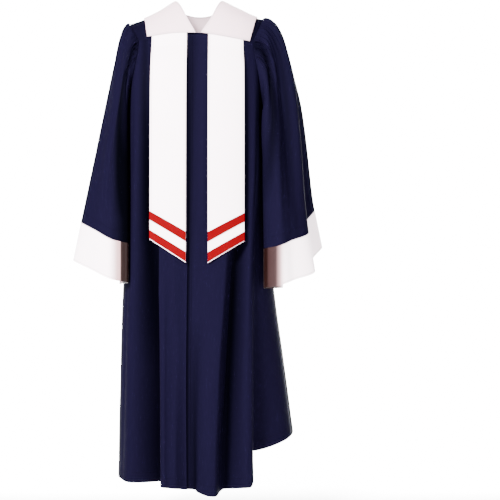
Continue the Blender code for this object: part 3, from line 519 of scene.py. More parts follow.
def plain_body(u, drop):
    """The body with no folds. Above ARCH_DROP it rounds over towards the shoulder line."""
    x, y = plain_ring(fold_turn(u, np.maximum(drop, ARCH_DROP)), np.maximum(drop, ARCH_DROP))
    above = np.maximum(ARCH_DROP - drop, 0.0) / (ARCH_DROP - shoulder_drop(x))
    y = y * np.sqrt(np.maximum(1 - above**2, 0.0))
    return np.stack([x, y, -drop], axis=-1)


def surface_normals(surface, a, b, step_a=0.02, step_b=0.002):
    """Unit normals of a surface of two arrays, and its unit direction along the first."""
    across = surface(a + step_a, b) - surface(a - step_a, b)
    down = surface(a, b + step_b) - surface(a, b - step_b)
    return unit(np.cross(down, across)), unit(across)


def seam_drop(u):
    """The drop of the yoke's seam above place u: level at the back, on YOKE_FRONT_LEAN in front."""
    turn = fold_turn(u, np.full_like(u, ARCH_DROP))
    x, _ = plain_ring(turn, np.full_like(u, ARCH_DROP))
    front = lean_drop(x, YOKE_FRONT_LEAN)
    return np.where(np.cos(np.radians(turn)) > 0, front, ARCH_DROP)


def body_gathers(u, drop):
    """How far the back's gathers move the cloth out, fading down from the yoke's seam."""
    turn = fold_turn(u, np.full_like(u, ARCH_DROP))
    x, _ = plain_ring(turn, np.full_like(u, ARCH_DROP))
    below = drop - ARCH_DROP
    fade = ease(below / GATHER_START) * (1 - ease((below - GATHER_START) / GATHER_LENGTH))
    along = (x - BACK_GATHERS_FROM) / (BACK_GATHERS_TO - BACK_GATHERS_FROM)
    wave = gather_wave(along, BACK_GATHERS) * BACK_GATHER_DEPTH
    return np.where(np.cos(np.radians(turn)) < 0, wave * fade, 0.0)


def gather_wave(along, count):
    """Ridges and valleys of a run of gathers from along = 0 to 1, shallower at its two ends."""
    inside = np.clip(along, 0.0, 1.0)
    return -np.cos(2 * math.pi * count * inside) * ease(
        GATHER_END_SOFTNESS * np.sin(math.pi * inside)
    )


def body_outs(u, drop):
    """How far the large folds move the body's cloth out at a drop."""
    keys = np.array((ARCH_DROP, CHEST_DROP, WAIST_DROP, KNEE_DROP, HEM_DROP))
    names = ("out_chest", "out_waist", "out_knee", "out_hem")
    levels = np.stack([np.zeros_like(u)] + [fold_value(u, name) for name in names])
    slopes = np.gradient(levels, keys, axis=0)
    at = np.clip(drop, keys[0], keys[-1])
    first = np.clip(np.searchsorted(keys, at, side="right") - 1, 0, len(keys) - 2)
    step = keys[first + 1] - keys[first]
    t = (at - keys[first]) / step
    here = np.arange(len(u))
    return (
        levels[first, here] * (1 + 2 * t) * (1 - t) ** 2
        + slopes[first, here] * step * t * (1 - t) ** 2
        + levels[first + 1, here] * t * t * (3 - 2 * t)
        + slopes[first + 1, here] * step * t * t * (t - 1)
    )


def body(u, drop):
    """The outer face of the gown's body at places u round it and drops, one point a row."""
    u = np.asarray(u, float)
    drop = np.asarray(drop, float) + np.zeros_like(u)
    plain = plain_body(u, drop)
    normal, across = surface_normals(plain_body, u, drop)
    grown = ease((drop - ARCH_DROP) / (HEM_DROP - ARCH_DROP))
    out = body_outs(u, drop) + body_gathers(u, drop)
    points = plain + normal * out[:, None] + across * (fold_value(u, "lean") * grown)[:, None]
    points[:, 2] += fold_value(u, "lift") * grown
    return points


def u_at_turn(turn, drop):
    """The places u with these turns at these drops."""
    places = np.arange(-FOLDS // 4, FOLDS * 5 // 4, READING_STEP)
    found = [
        np.interp(one, fold_turn(places, np.full_like(places, level)), places)
        for one, level in zip(np.atleast_1d(turn), np.atleast_1d(drop))
    ]
    return np.array(found)


def armhole_x(name, lean):
    """The x of an armhole's edge over the shoulder."""
    _, side, shoulder_x, front_x, back_x, *_ = row_of(ARMHOLES, name)
    lean = np.asarray(lean, float)
    share = np.where(lean < 0, lean / YOKE_FRONT_LEAN, lean / YOKE_BACK_LEAN)
    corner = np.where(lean < 0, front_x, back_x)
    return side * (shoulder_x + (corner - shoulder_x) * share**2)


def corner_turn(name, front):
    """How far round the side the yoke's lower corner is, as degrees from the front or the back."""
    _, _, _, front_x, back_x, *_ = row_of(ARMHOLES, name)
    reach = section(ARCH_DROP, name)
    x = front_x if front else back_x
    return math.degrees(math.asin((x / reach) ** (section(ARCH_DROP, "square") / 2)))


def corner_drop(name, front):
    """The drop of the yoke's lower corner."""
    _, side, _, front_x, *_ = row_of(ARMHOLES, name)
    return float(lean_drop(side * front_x, YOKE_FRONT_LEAN)) if front else ARCH_DROP


def armhole_turn(name, front, drop):
    """The armhole's edge below the yoke, as degrees from the front or the back."""
    top = corner_drop(name, front)
    height = np.clip((UNDERARM_DROP - drop) / (UNDERARM_DROP - top), 0.0, 1.0)
    bend = (1 - (1 - height) ** ARMHOLE_BEND) ** (1 / ARMHOLE_BEND)
    return 90.0 - (90.0 - corner_turn(name, front)) * bend


def full_turn_of(name, front, turn):
    """The turn from straight ahead, round by the wearer's left, of a turn from front or back."""
    around = turn if front else 180.0 - turn
    return around if name == "left" else FULL_TURN - around


def armhole(name, share):
    """The armhole's edge from the underarm up the front, over and down the back: points, normals."""
    share = np.asarray(share, float) % 1.0
    points = np.zeros((len(share), 3))
    normals = np.zeros((len(share), 3))
    over_end = FRONT_STRETCH + OVER_STRETCH
    for front in (True, False):
        length = FRONT_STRETCH if front else 1 - over_end
        up = share / length if front else (1 - share) / length
        here = (share <= FRONT_STRETCH) if front else (share > over_end)
        drop = UNDERARM_DROP - (UNDERARM_DROP - corner_drop(name, front)) * up[here]
        turn = full_turn_of(name, front, armhole_turn(name, front, drop))
        u = u_at_turn(turn, np.maximum(drop, ARCH_DROP))
        points[here] = body(u, drop)
        normals[here] = surface_normals(body, u, drop)[0]
    here = (share > FRONT_STRETCH) & (share <= over_end)
    over = (share[here] - FRONT_STRETCH) / OVER_STRETCH
    lean = YOKE_FRONT_LEAN + (YOKE_BACK_LEAN - YOKE_FRONT_LEAN) * over
    x = armhole_x(name, lean)
    points[here] = shoulder(x, lean)
    normals[here] = shoulder_normals(x, lean)
    return points, normals


def shoulder_normals(x, lean):
    """Unit normals over the shoulders, pointing out of the body."""
    normal, _ = surface_normals(shoulder, x, lean, 0.0005, 0.5)
    outward = normal[:, 1] * np.sin(np.radians(lean)) + normal[:, 2] * np.cos(np.radians(lean))
    return normal * np.where(outward < 0, -1.0, 1.0)[:, None]


def grid_normals(grid, closed):
    """Unit normals of a grid of points, from its neighbouring rows and columns."""
    down = np.gradient(grid, axis=0)
    if closed:
        across = np.roll(grid, -1, axis=1) - np.roll(grid, 1, axis=1)
    else:
        across = np.gradient(grid, axis=1)
    return unit(np.cross(down, across))


def sleeve_gathers(share, t):
    """How far the sleeve head's gathers move the cloth out, fading down from the armhole."""
    along = (share - GATHERS_FROM) / (GATHERS_TO - GATHERS_FROM)
    fade_in = ease(t / SLEEVE_GATHER_START)
    fade = fade_in * (1 - ease((t - SLEEVE_GATHER_START) / SLEEVE_GATHER_LENGTH))
    return SLEEVE_GATHER_DEPTH * gather_wave(along, SLEEVE_GATHERS) * fade


def sleeve_hem(name, share):
    """The sleeve's lower edge where its cuff is sewn on, and the way it runs on down there."""
    side = row_of(ARMHOLES, name)[1]
    folds = SLEEVE_FOLDS[name]
    heads = column(folds, SLEEVE_COLUMNS, "head")
    hem = np.stack(
        [
            side * column(folds, SLEEVE_COLUMNS, "x"),
            column(folds, SLEEVE_COLUMNS, "y"),
            -column(folds, SLEEVE_COLUMNS, "drop"),
        ],
        axis=-1,
    )
    points = closed_curve(heads, hem, share)
    splay = np.maximum(np.abs(points[:, 0]) - HEM_SPLAY_FROM, 0.0) * HEM_SPLAY
    forward = points[:, 1] * CUFF_FLARE
    return points, np.stack([side * splay, forward, -np.ones_like(splay)], axis=-1)


def sleeve_grid(name, shares, rows):
    """The sleeve's outer face: a row of points for each step from the armhole to the cuff."""
    _, side, _, _, _, cap_reach, cap_rise = row_of(ARMHOLES, name)
    edge, normal = armhole(name, shares)
    start = edge + normal * (CLOTH + SLEEVE_STAND)
    end, run = sleeve_hem(name, shares)
    over = ease((shares - 0.5 * FRONT_STRETCH) / (0.5 * FRONT_STRETCH))
    over = over * ease((1 - 0.5 * FRONT_STRETCH - shares) / (0.5 * FRONT_STRETCH))
    cap = np.array([side * cap_reach, 0.0, cap_rise])
    reach = SEAM_REACH * ease(np.minimum(shares, 1 - shares) / REACH_FROM_UNDERARM)
    seam = reach[:, None] * np.array([side, 0.0, 0.0]) - np.array([0.0, 0.0, SEAM_FALL])
    lead = over[:, None] * cap + (1 - over)[:, None] * seam + normal * SEAM_STAND
    t = np.asarray(rows)[:, None, None]
    grid = (
        start * (1 - t) ** 3
        + (start + lead) * 3 * t * (1 - t) ** 2
        + (end - run * HEM_PULL) * 3 * t * t * (1 - t)
        + end * t**3
    )
    normals = grid_normals(grid, closed=True) * side
    folds = SLEEVE_FOLDS[name]
    mid = closed_curve(
        column(folds, SLEEVE_COLUMNS, "head"), column(folds, SLEEVE_COLUMNS, "mid"), shares
    )
    level = t[:, :, 0]
    out = mid * (4 * level * (1 - level)) ** MID_SPREAD + sleeve_gathers(shares, level)
    return grid + normals * out[:, :, None]


def cuff_grid(name, shares, rows):
    """The cuff band's outer face, from its seam to its edge."""
    end, run = sleeve_hem(name, shares)
    t = np.asarray(rows)[:, None, None]
    return end + run * (CUFF_SEAM + (CUFF_LENGTH - CUFF_SEAM) * t)


def row_drop(u, share):
    """The drops of a panel's row at places u, a share of the way from the yoke's seam to the hem."""
    top = seam_drop(u)
    return top + (HEM_DROP - top) * share


def ring_grid(edges, rings, stand, thickness):
    """Outer and inner faces of a band round the neck, between two edges over the shoulders."""
    inner_x, inner_lean, outer_x, outer_lean = edges
    outer, inner = [], []
    for w in np.linspace(0, 1, rings + 1):
        x = inner_x * (1 - w) + outer_x * w
        lean = inner_lean * (1 - w) + outer_lean * w
        points = shoulder(x, lean)
        normal = shoulder_normals(x, lean)
        outer.append(points + normal * (stand + thickness))
        inner.append(points + normal * stand)
    return np.array(outer), np.array(inner)


def yoke_edges(at):
    """The yoke's two edges at places counted by the rows of YOKE_NECK."""
    rows = np.arange(len(YOKE_NECK))
    inner_x = smooth_curve(rows, column(YOKE_NECK, NECK_COLUMNS, "x"), at)
    inner_lean = smooth_curve(rows, column(YOKE_NECK, NECK_COLUMNS, "lean"), at)
    corner = len(YOKE_OUTER_LEANS) - 1
    from_end = np.minimum(at, rows[-1] - at)
    outer_lean = np.interp(from_end, np.arange(corner + 1), YOKE_OUTER_LEANS)
    right_x = armhole_x("right", outer_lean)
    left_x = armhole_x("left", outer_lean)
    across = (at - corner) / (rows[-1] - 2 * corner)
    back_x = right_x + (left_x - right_x) * across
    outer_x = np.where(at <= corner, right_x, np.where(at >= rows[-1] - corner, left_x, back_x))
    return inner_x, inner_lean, outer_x, outer_lean


def collar_edges(at):
    """The collar's two edges at places counted by the rows of COLLAR_RING."""
    rows = np.arange(len(COLLAR_RING))
    return [
        smooth_curve(rows, column(COLLAR_RING, RING_COLUMNS, name), at) for name in RING_COLUMNS[1:]
    ]


def collar_end_drop(name, x):
    """The drop of the collar's front lower edge at x."""
    row = row_of(COLLAR_RING, f"{name}_end")
    w = (x - row[1]) / (row[3] - row[1])
    return lean_drop(x, row[2] + (row[4] - row[2]) * w)


def front_face(x, drop):
    """The plain front of the body at x and a drop, with no folds."""
    low = np.maximum(drop, ARCH_DROP)
    side = np.where(x > 0, section(low, "left"), section(low, "right"))
    square = section(low, "square")
    depth = section(low, "front") * (1 - (np.abs(x) / side) ** square) ** (1 / square)
    above = np.maximum(ARCH_DROP - drop, 0.0) / (ARCH_DROP - shoulder_drop(x))
    return np.stack([x, -depth * np.sqrt(np.maximum(1 - above**2, 0.0)), -drop], axis=-1)


def front_normals(x, drop):
    normal, _ = surface_normals(front_face, x, drop, 0.002, 0.002)
    return normal * np.where(normal[:, 1:2] > 0, -1.0, 1.0)


def creases(rows, names, across, down):
    """How far a table of soft creases moves the cloth out at places across and down it."""
    out = np.zeros(np.broadcast(across, down).shape)
    for row in rows:
        _, across_top, down_top, across_low, down_low, width, depth, bow = row
        t = (down - down_top) / (down_low - down_top)
        middle = np.sin(math.pi * np.clip(t, 0.0, 1.0))
        centre = across_top + (across_low - across_top) * t + bow * middle
        out = out + depth * middle**0.8 * np.exp(-(((across - centre) / width) ** 2))
    return out


def fine_gathers(share, t):
    """The small uneven gathers between the large ones at the sleeve's head."""
    along = (share - GATHERS_FROM) / (GATHERS_TO - GATHERS_FROM)
    uneven = along + 0.004 * np.sin(41.0 * along) + 0.003 * np.sin(97.0 * along + 1.0)
    reach = FINE_GATHER_END * (1.0 + 0.45 * np.sin(23.0 * along) + 0.25 * np.sin(61.0 * along))
    fade = ease(t / 0.02) * (1 - ease((t - 0.02) / np.maximum(reach, 0.06)))
    return FINE_GATHER_DEPTH * gather_wave(uneven, FINE_GATHERS) * fade


def step_at(distance, width):
    """1 within a hem's width of its edge, 0 beyond it."""
    return 1 - ease((distance - width) / STEP_SOFTNESS)


def grid_faces(rows, columns, closed):
    """The faces of a wall between two grids of points, outer first."""
    back = rows * columns
    faces = []
    stretches = columns if closed else columns - 1
    for i in range(rows - 1):
        for j in range(stretches):
            k = (j + 1) % columns
            a, b = i * columns + j, i * columns + k
            c, d = b + columns, a + columns
            faces.append((a, b, c, d))
            faces.append((back + d, back + c, back + b, back + a))
    last = (rows - 1) * columns
    for j in range(stretches):
        k = (j + 1) % columns
        faces.append((k, j, back + j, back + k))
        faces.append((last + j, last + k, back + last + k, back + last + j))
    if not closed:
        for i in range(rows - 1):
            a, d = i * columns, (i + 1) * columns
            faces.append((a, d, back + d, back + a))
            a, d = a + columns - 1, d + columns - 1
            faces.append((d, a, back + a, back + d))
    return faces


def distances(grid):
    """Distances in metres across and down a grid of points, from its first column and row."""
    wide = np.linalg.norm(np.diff(grid, axis=1), axis=2)
    tall = np.linalg.norm(np.diff(grid, axis=0), axis=2)
    across = np.concatenate([np.zeros((len(grid), 1)), np.cumsum(wide, axis=1)], axis=1)
    down = np.concatenate([np.zeros((1, grid.shape[1])), np.cumsum(tall, axis=0)], axis=0)
    return across, down


def tucked(outer, inner, lap=0.0):
    """A wall of cloth with its first edge turned in under its seam, and past it by a lap."""
    into = unit(inner[0] - outer[0])
    along = unit(outer[1] - outer[0])
    into[0], along[0] = into[1], along[1]
    top = outer[0] + into * SEAM_TUCK - along * lap
    return np.concatenate([[top], outer]), np.concatenate([[top + along * SHELL], inner])


def shell(name, outer, inner, material, replaced, closed=False, tone=None):
    """A thin shell of cloth between two grids of points, standing for a CAD node."""
    rows, columns = outer.shape[:2]
    points = np.concatenate([outer.reshape(-1, 3), inner.reshape(-1, 3)])
    faces = grid_faces(rows, columns, closed)
    a, b, c, d = (points[[face[i] for face in faces]] for i in range(4))
    signed = np.einsum("ij,ij->i", a, np.cross(b, c)) + np.einsum("ij,ij->i", a, np.cross(c, d))
    if signed.sum() < 0:
        faces = [face[::-1] for face in faces]
    mesh = bpy.data.meshes.new(name)
    mesh.from_pydata(points.tolist(), [], faces)
    mesh.update()
    across, down = distances(outer)
    starts = np.stack([across.ravel(), down.ravel()], axis=-1)
    ends = np.stack([(across[:, -1:] - across).ravel(), (down[-1:] - down).ravel()], axis=-1)
    corners = np.empty(len(mesh.loops), dtype=np.int64)
    mesh.loops.foreach_get("vertex_index", corners)
    for layer, values in (("cloth", starts), ("edges", ends)):
        both = np.concatenate([values, values])
        mesh.uv_layers.new(name=layer).data.foreach_set("uv", both[corners].ravel())
    # The tone attribute carries the navy's painted shade from the fold and yoke tables
    if tone is not None:
        values = np.clip(np.concatenate([tone[:1], tone]) if len(tone) < rows else tone, 0.0, 1.0)
        layer = mesh.attributes.new("tone", "FLOAT", "POINT")
        layer.data.foreach_set("value", np.concatenate([values, values]).ravel())
    mesh.materials.append(material)
    mesh.shade_smooth()
    mesh.set_sharp_from_angle(angle=math.radians(SHARP_ANGLE))
    piece = bpy.data.objects.new(name, mesh)
    bpy.context.collection.objects.link(piece)
    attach(piece, "root")
    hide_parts(replaced)
    e1 = outer[1:, 1:] - outer[:-1, :-1]
    e2 = outer[1:, :-1] - outer[:-1, 1:]
    area = 0.5 * np.linalg.norm(np.cross(e1, e2), axis=2).sum()
    print("SHEET", name, "width", across[:, -1].max().round(4), "length", down[-1].max().round(4), "area", area.round(4))
    return piece


def place_rows(count, power):
    return np.linspace(0, 1, count + 1) ** power


def panel(name, first, last, armholes, gathered):
    """A panel of the body from the yoke's seam to the hem, cut back at its armholes."""
    columns = panel_places(first, last, gathered)
    outer, inner, painted_shade_grid = [], [], []
    for share in place_rows(PANEL_ROWS, 1.25):
        drop = row_drop(columns, share)
        u = columns.copy()
        for side_name, front, edge, fixed in armholes:
            level = float(drop[edge])
            if level < UNDERARM_DROP:
                turn = full_turn_of(side_name, front, armhole_turn(side_name, front, level))
                limit = u_at_turn(turn, max(level, ARCH_DROP))[0]
                if limit < columns[edge] - FOLDS / 2:
                    limit += FOLDS
                span = (columns - fixed) / (columns[edge] - fixed)
                u = np.where(span > 0, fixed + (limit - fixed) * span, u)
                drop = row_drop(u, share)
        points = body(u, drop)
        normal, _ = surface_normals(body, u, drop)
        edge = np.minimum(columns - first, last - columns) / 0.5
        out = creases(BODY_CREASES, BODY_CREASE_COLUMNS, u, drop)
        near_top = ease(share / 0.03)
        out = out * near_top + HEM_STEP * step_at(HEM_DROP - drop, HEM_WIDTH)
        outer.append(points + normal * out[:, None])
        inner.append(points + normal * (out - SHELL)[:, None])
        # painted shade in the body's fold hollows
        painted_shade_grid.append(creases(BODY_PAINTED_SHADE, PAINTED_SHADE_COLUMNS, u, drop))
    outer, inner = tucked(np.array(outer), np.array(inner), SEAM_LAP)
    painted_shade_grid = np.array(painted_shade_grid)
    for _, _, edge, _ in armholes:
        step = 1 if edge == 0 else -1
        turned = (grid[:, ::step].swapaxes(0, 1) for grid in (outer, inner))
        outer, inner = (grid.swapaxes(0, 1)[:, ::step] for grid in tucked(*turned, SEAM_LAP))
        painted_shade_grid = np.pad(painted_shade_grid, ((0, 0), (1, 0) if edge == 0 else (0, 1)), mode="edge")
    return outer, inner, painted_shade_grid


def panel_places(first, last, gathered):
    """Places across a panel: evenly over its folds, and more closely over its gathers."""
    places = np.linspace(first, last, round(abs(last - first) * PLACES_PER_FOLD) + 1)
    if not gathered:
        return places
    x = np.linspace(BACK_GATHERS_TO, BACK_GATHERS_FROM, PLACES_PER_GATHER * BACK_GATHERS + 1)
    side = np.where(x > 0, section(ARCH_DROP, "left"), section(ARCH_DROP, "right"))
    turn = np.degrees(np.arcsin((np.abs(x) / side) ** (section(ARCH_DROP, "square") / 2)))
    close = u_at_turn(FULL_TURN / 2 - np.sign(x) * turn, np.full_like(x, ARCH_DROP))
    clear = 0.5 / PLACES_PER_FOLD
    before, after = places < close[0] - clear, places > close[-1] + clear
    return np.concatenate([places[before], close, places[after]])


def body_pieces(navy):
    at_left = ("left", True, -1, FRONT_LEFT_HELD)
    at_right = ("right", True, 0, FRONT_RIGHT_HELD)
    at_back = [("left", False, 0, BACK_LEFT_HELD), ("right", False, -1, BACK_RIGHT_HELD)]
    for name, first, last, armholes in (
        ("front_left", -CENTRE_LAP, LEFT_SIDE_SEAM, [at_left]),
        ("back", LEFT_SIDE_SEAM, RIGHT_SIDE_SEAM, at_back),
        ("front_right", RIGHT_SIDE_SEAM, float(FOLDS), [at_right]),
    ):
        outer, inner, painted_shade_grid = panel(name, first, last, armholes, name == "back")
        piece = shell(f"{name}_cloth", outer, inner, navy, name, tone=painted_shade_grid)


def sleeve_pieces(navy, whites):
    for name, side, *_ in ARMHOLES:
        gathered = np.linspace(GATHERS_FROM, GATHERS_TO, SLEEVE_GATHER_PLACES * SLEEVE_GATHERS + 1)
        front = np.linspace(0, GATHERS_FROM, SLEEVE_PLAIN_PLACES + 1)[:-1]
        rear = np.linspace(GATHERS_TO, 1, SLEEVE_PLAIN_PLACES + 1)[1:-1]
        shares = np.concatenate([front, gathered, rear])
        rows = place_rows(SLEEVE_GRID_ROWS, 1.35)
        grid = sleeve_grid(name, shares, rows)
        normal = grid_normals(grid, closed=True) * side
        t = rows[:, None] + np.zeros_like(shares)
        out = creases(SLEEVE_CREASES[name], SLEEVE_CREASE_COLUMNS, shares[None, :], t)
        out = out * (1 - ease((t - 0.97) / 0.03)) + fine_gathers(shares[None, :], t)
        outer = grid + normal * out[:, :, None]
        normal = grid_normals(outer, closed=True) * side
        outer, inner = tucked(outer, outer - normal * SHELL, SLEEVE_LAP)
        # painted shade in the sleeve's fold hollows
        tone = creases(SLEEVE_PAINTED_SHADE[name], PAINTED_SHADE_COLUMNS, shares[None, :], t)
        piece = shell(f"sleeve_{name}_cloth", outer, inner, navy, f"sleeve_{name}", True, tone)
        outer = cuff_grid(name, shares, place_rows(CUFF_GRID_ROWS, 1.0))
        normal = grid_normals(outer, closed=True) * side
        piece = shell(f"cuff_{name}_satin", outer, outer - normal * SATIN_SHELL, whites[name], f"cuff_{name}", True)


def neck_pieces(navy, white):
    last = len(YOKE_NECK) - 1
    at = np.linspace(0, last, last * YOKE_PLACES_PER_ROW + 1)
    outer, inner = ring_grid(yoke_edges(at), YOKE_GRID_RINGS, -SHELL, SHELL)
    outer, inner = tucked(outer[::-1], inner[::-1])
    # painted shade laid evenly over the yoke
    tone = np.full(outer.shape[:2], YOKE_PAINTED_SHADE)
    piece = shell("yoke_cloth", outer[::-1], inner[::-1], navy, "yoke", tone=tone)
    last = len(COLLAR_RING) - 1
    at = np.linspace(0, last, last * COLLAR_PLACES_PER_ROW + 1)
    outer, inner = ring_grid(collar_edges(at), COLLAR_GRID_RINGS, COLLAR_STAND, COLLAR_CLOTH)
    piece = shell("collar_satin", outer, inner, white, "collar")


def front_sheet(name, x, drops, lifts, thickness, material, replaced):
    """A sheet on the front of the body: a row for each set of drops, moved out by its lifts."""
    faces = []
    for reach in (thickness, 0.0):
        rows = [
            front_face(x, drop) + front_normals(x, drop) * (lift + reach)[:, None]
            for drop, lift in zip(drops, lifts)
        ]
        faces.append(np.array(rows))
    return shell(name, faces[0], faces[1], material, replaced)


def tail_pieces(white, red):
    for name, inner_x, outer_x, hem_inner, hem_outer in TAILS:
        share = np.linspace(0, 1, TAIL_PLACES + 1)
        x = inner_x + (outer_x - inner_x) * share
        hem = hem_inner + (hem_outer - hem_inner) * share
        top = collar_end_drop(name, x) + TAIL_BELOW_COLLAR
        drops = [top + (hem - top) * w for w in np.linspace(0, 1, TAIL_GRID_ROWS + 1)]
        settled = [ease((drop - top) / TAIL_SETTLE) for drop in drops]
        lifts = [COLLAR_STAND + (TAIL_STAND - COLLAR_STAND) * w for w in settled]
        piece = front_sheet(f"tail_{name}_satin", x, drops, lifts, TAIL_CLOTH, white, f"tail_{name}")
        ribbons = []
        for ribbon, up_inner, up_outer, width_inner, width_outer in RIBBONS:
            low = hem - (up_inner + (up_outer - up_inner) * share)
            high = low - (width_inner + (width_outer - width_inner) * share)
            lift = np.full_like(x, TAIL_STAND + TAIL_CLOTH + GAP)
            drops = [high + (low - high) * w for w in np.linspace(0, 1, RIBBON_GRID_ROWS + 1)]
            node = f"ribbon_{ribbon}_{name}"
            strip = front_sheet(f"{node}_band", x, drops, [lift] * len(drops), RIBBON_CLOTH, red, node)
            ribbons.append(strip)


# Colours as linear red, green, blue
NAVY_DEEP = (0.0018, 0.0013, 0.0050)
NAVY_LIT = (0.0026, 0.0020, 0.0074)
NAVY_THREAD = (0.0015, 0.0012, 0.0040)
# the colour of the navy's painted shade in fold hollows and over the yoke
NAVY_PAINTED_SHADE = (0.0003, 0.0003, 0.0008)
SATIN_PALE = (0.940, 0.810, 0.860)
SATIN_WARM = (0.900, 0.710, 0.760)
# the stitches' thread colour, also used for the painted shade along satin edges
SATIN_THREAD_AND_EDGE_SHADE = (0.420, 0.330, 0.360)
# painted shadow colours for the cuffs' sides that turn in to the body
SATIN_SHADED = (0.270, 0.160, 0.160)
SATIN_TURNED_SHADOW = (0.0140, 0.0060, 0.0060)
SATIN_DEEP_SHADOW = (0.0040, 0.0008, 0.0006)
# The collar's satin: its pinker tint is the collar's own, its darker level is painted shade on its upward slope
COLLAR_SHADED_PALE = (0.600, 0.430, 0.470)
COLLAR_SHADED_WARM = (0.500, 0.345, 0.385)
RIBBON_RED = (0.0780, 0.0001, 0.0016)
RIBBON_DEEP = (0.0600, 0.0001, 0.0012)
RIBBON_PALE = (0.1400, 0.0120, 0.0160)
FLOOR_PALE = (0.930, 0.930, 0.935)

# The cuffs' painted shadow where they turn in to the body: how far from the middle each band is full, where it
# has faded out, and its colour
CUFF_PAINTED_SHADE = {
    "right": ((0.206, 0.236, SATIN_SHADED), (0.1985, 0.2035, SATIN_DEEP_SHADOW)),
    "left": ((0.214, 0.236, SATIN_SHADED), (0.204, 0.2235, SATIN_TURNED_SHADOW), (0.182, 0.188, SATIN_DEEP_SHADOW)),
}


class Tree:
    """Adds nodes to a material's tree, each with its inputs given by name or number."""

    def __init__(self, name, slot=""):
        self.material = bpy.data.materials.new(name)
        self.material["slot"] = slot
        self.material.use_nodes = True
        self.nodes = self.material.node_tree.nodes
        self.links = self.material.node_tree.links
        self.shader = self.nodes["Principled BSDF"]

    def put(self, socket, value):
        if isinstance(value, bpy.types.NodeSocket):
            self.links.new(value, socket)
        elif isinstance(value, tuple) and len(value) == 3 and socket.type == "RGBA":
            socket.default_value = (*value, 1.0)
        else:
            socket.default_value = value

    def add(self, kind, inputs, output=0, **settings):
        node = self.nodes.new(kind)
        for name, value in settings.items():
            setattr(node, name, value)
        for name, value in inputs.items():
            self.put(node.inputs[name], value)
        return node.outputs[output]

    def math(self, operation, a, b=0.0, c=0.0):
        return self.add("ShaderNodeMath", {0: a, 1: b, 2: c}, operation=operation)

    def mix(self, factor, a, b):
        return self.add("ShaderNodeMix", {0: factor, 6: a, 7: b}, output=2, data_type="RGBA")

    def uv(self, layer):
        """The two distances of one of the cloth's UV layers."""
        place = self.add("ShaderNodeUVMap", {}, uv_map=layer)
        across = self.add("ShaderNodeSeparateXYZ", {0: place}, output=0)
        down = self.add("ShaderNodeSeparateXYZ", {0: place}, output=1)
        return place, across, down

    def wave(self, along, pitch):
        """A sine from 0 to 1 that repeats each pitch along a distance."""
        turns = self.math("MULTIPLY", along, 2 * math.pi / pitch)
        return self.math("MULTIPLY_ADD", self.math("SINE", turns), 0.5, 0.5)

    def line(self, distance, at, width):
        """1 on a line at a distance from an edge, 0 beside it."""
        off = self.math("ABSOLUTE", self.math("SUBTRACT", distance, at))
        return self.add(
            "ShaderNodeMapRange",
            {"Value": off, "From Min": 0.5 * width, "From Max": width, "To Min": 1.0, "To Max": 0.0},
        )

    def fade(self, value, start, end):
        """1 below a start, 0 above an end, and smooth between them."""
        return self.add(
            "ShaderNodeMapRange",
            {"Value": value, "From Min": start, "From Max": end, "To Min": 1.0, "To Max": 0.0},
            interpolation_type="SMOOTHSTEP",
        )

    def stitches(self, distance, along, at, pitch, width):
        """Dashes of thread along a line at a distance from an edge."""
        dash = self.math("GREATER_THAN", self.wave(along, pitch), 0.22)
        return self.math("MULTIPLY", self.line(distance, at, width), dash)

    def noise(self, scale, detail=3.0, stretch=(1.0, 1.0, 1.0), roughness=0.5):
        place = self.add("ShaderNodeTexCoord", {}, output=3)
        place = self.add("ShaderNodeMapping", {0: place, "Scale": stretch})
        inputs = {"Vector": place, "Scale": scale, "Detail": detail, "Roughness": roughness}
        return self.add("ShaderNodeTexNoise", inputs)

    def bump(self, height, distance, strength=1.0, normal=None):
        inputs = {"Height": height, "Distance": distance, "Strength": strength}
        if normal is not None:
            inputs["Normal"] = normal
        return self.add("ShaderNodeBump", inputs)

    def finish(self, **inputs):
        for name, value in inputs.items():
            self.put(self.shader.inputs[name.replace("_", " ")], value)
        return self.material


def total(tree, values):
    """The sum of several heights or masks."""
    value = values[0]
    for other in values[1:]:
        value = tree.math("ADD", value, other)
    return value


def navy_material(name, stitch_rows):
    """Plain-woven polyester: fine threads both ways, a slight bloom, rows of thread stitches, and painted shade in its
    fold hollows and over the yoke.
    """
    tree = Tree(name, "navy_cloth")
    _, across, down = tree.uv("cloth")
    _, across_back, down_back = tree.uv("edges")
    warp = tree.wave(across, THREAD_PITCH)
    weft = tree.wave(down, THREAD_PITCH)
    weave = tree.math("MULTIPLY", warp, weft)
    cloud = tree.noise(5.0, 4.0, (1.0, 1.0, 0.35))
    slub = tree.noise(260.0, 2.0, (1.0, 1.0, 0.12))
    tone = tree.math("MULTIPLY_ADD", cloud, 0.7, tree.math("MULTIPLY", slub, 0.3))
    colour = tree.mix(tone, NAVY_DEEP, NAVY_LIT)
    places = {"across": across, "down": down, "across_back": across_back, "down_back": down_back}
    rows = [
        tree.stitches(places[edge], places["down" if "across" in edge else "across"], at, 0.0032, 0.0007)
        for edge, at in stitch_rows
    ]
    if rows:
        seam = total(tree, rows)
        colour = tree.mix(tree.math("MINIMUM", seam, 1.0), colour, NAVY_THREAD)
    # Painted shade: the tone attribute darkens the navy in fold hollows and over the yoke
    painted_shade_amount = tree.add("ShaderNodeAttribute", {}, output=2, attribute_name="tone")
    colour = tree.mix(painted_shade_amount, colour, NAVY_PAINTED_SHADE)
    rough = tree.math("MULTIPLY_ADD", cloud, 0.10, 0.46)
    normal = tree.bump(weave, 0.00008, 0.35)
    normal = tree.bump(tree.noise(34.0, 3.0, (1.0, 1.0, 0.4)), 0.0011, 0.30, normal)
    if rows:
        normal = tree.bump(seam, -0.0003, 0.8, normal)
    return tree.finish(
        Base_Color=colour,
        Roughness=rough,
        Normal=normal,
        Specular_IOR_Level=0.001,
        Sheen_Weight=0.0004,
        Sheen_Roughness=0.5,
        Sheen_Tint=(0.40, 0.44, 0.80, 1.0),
    )


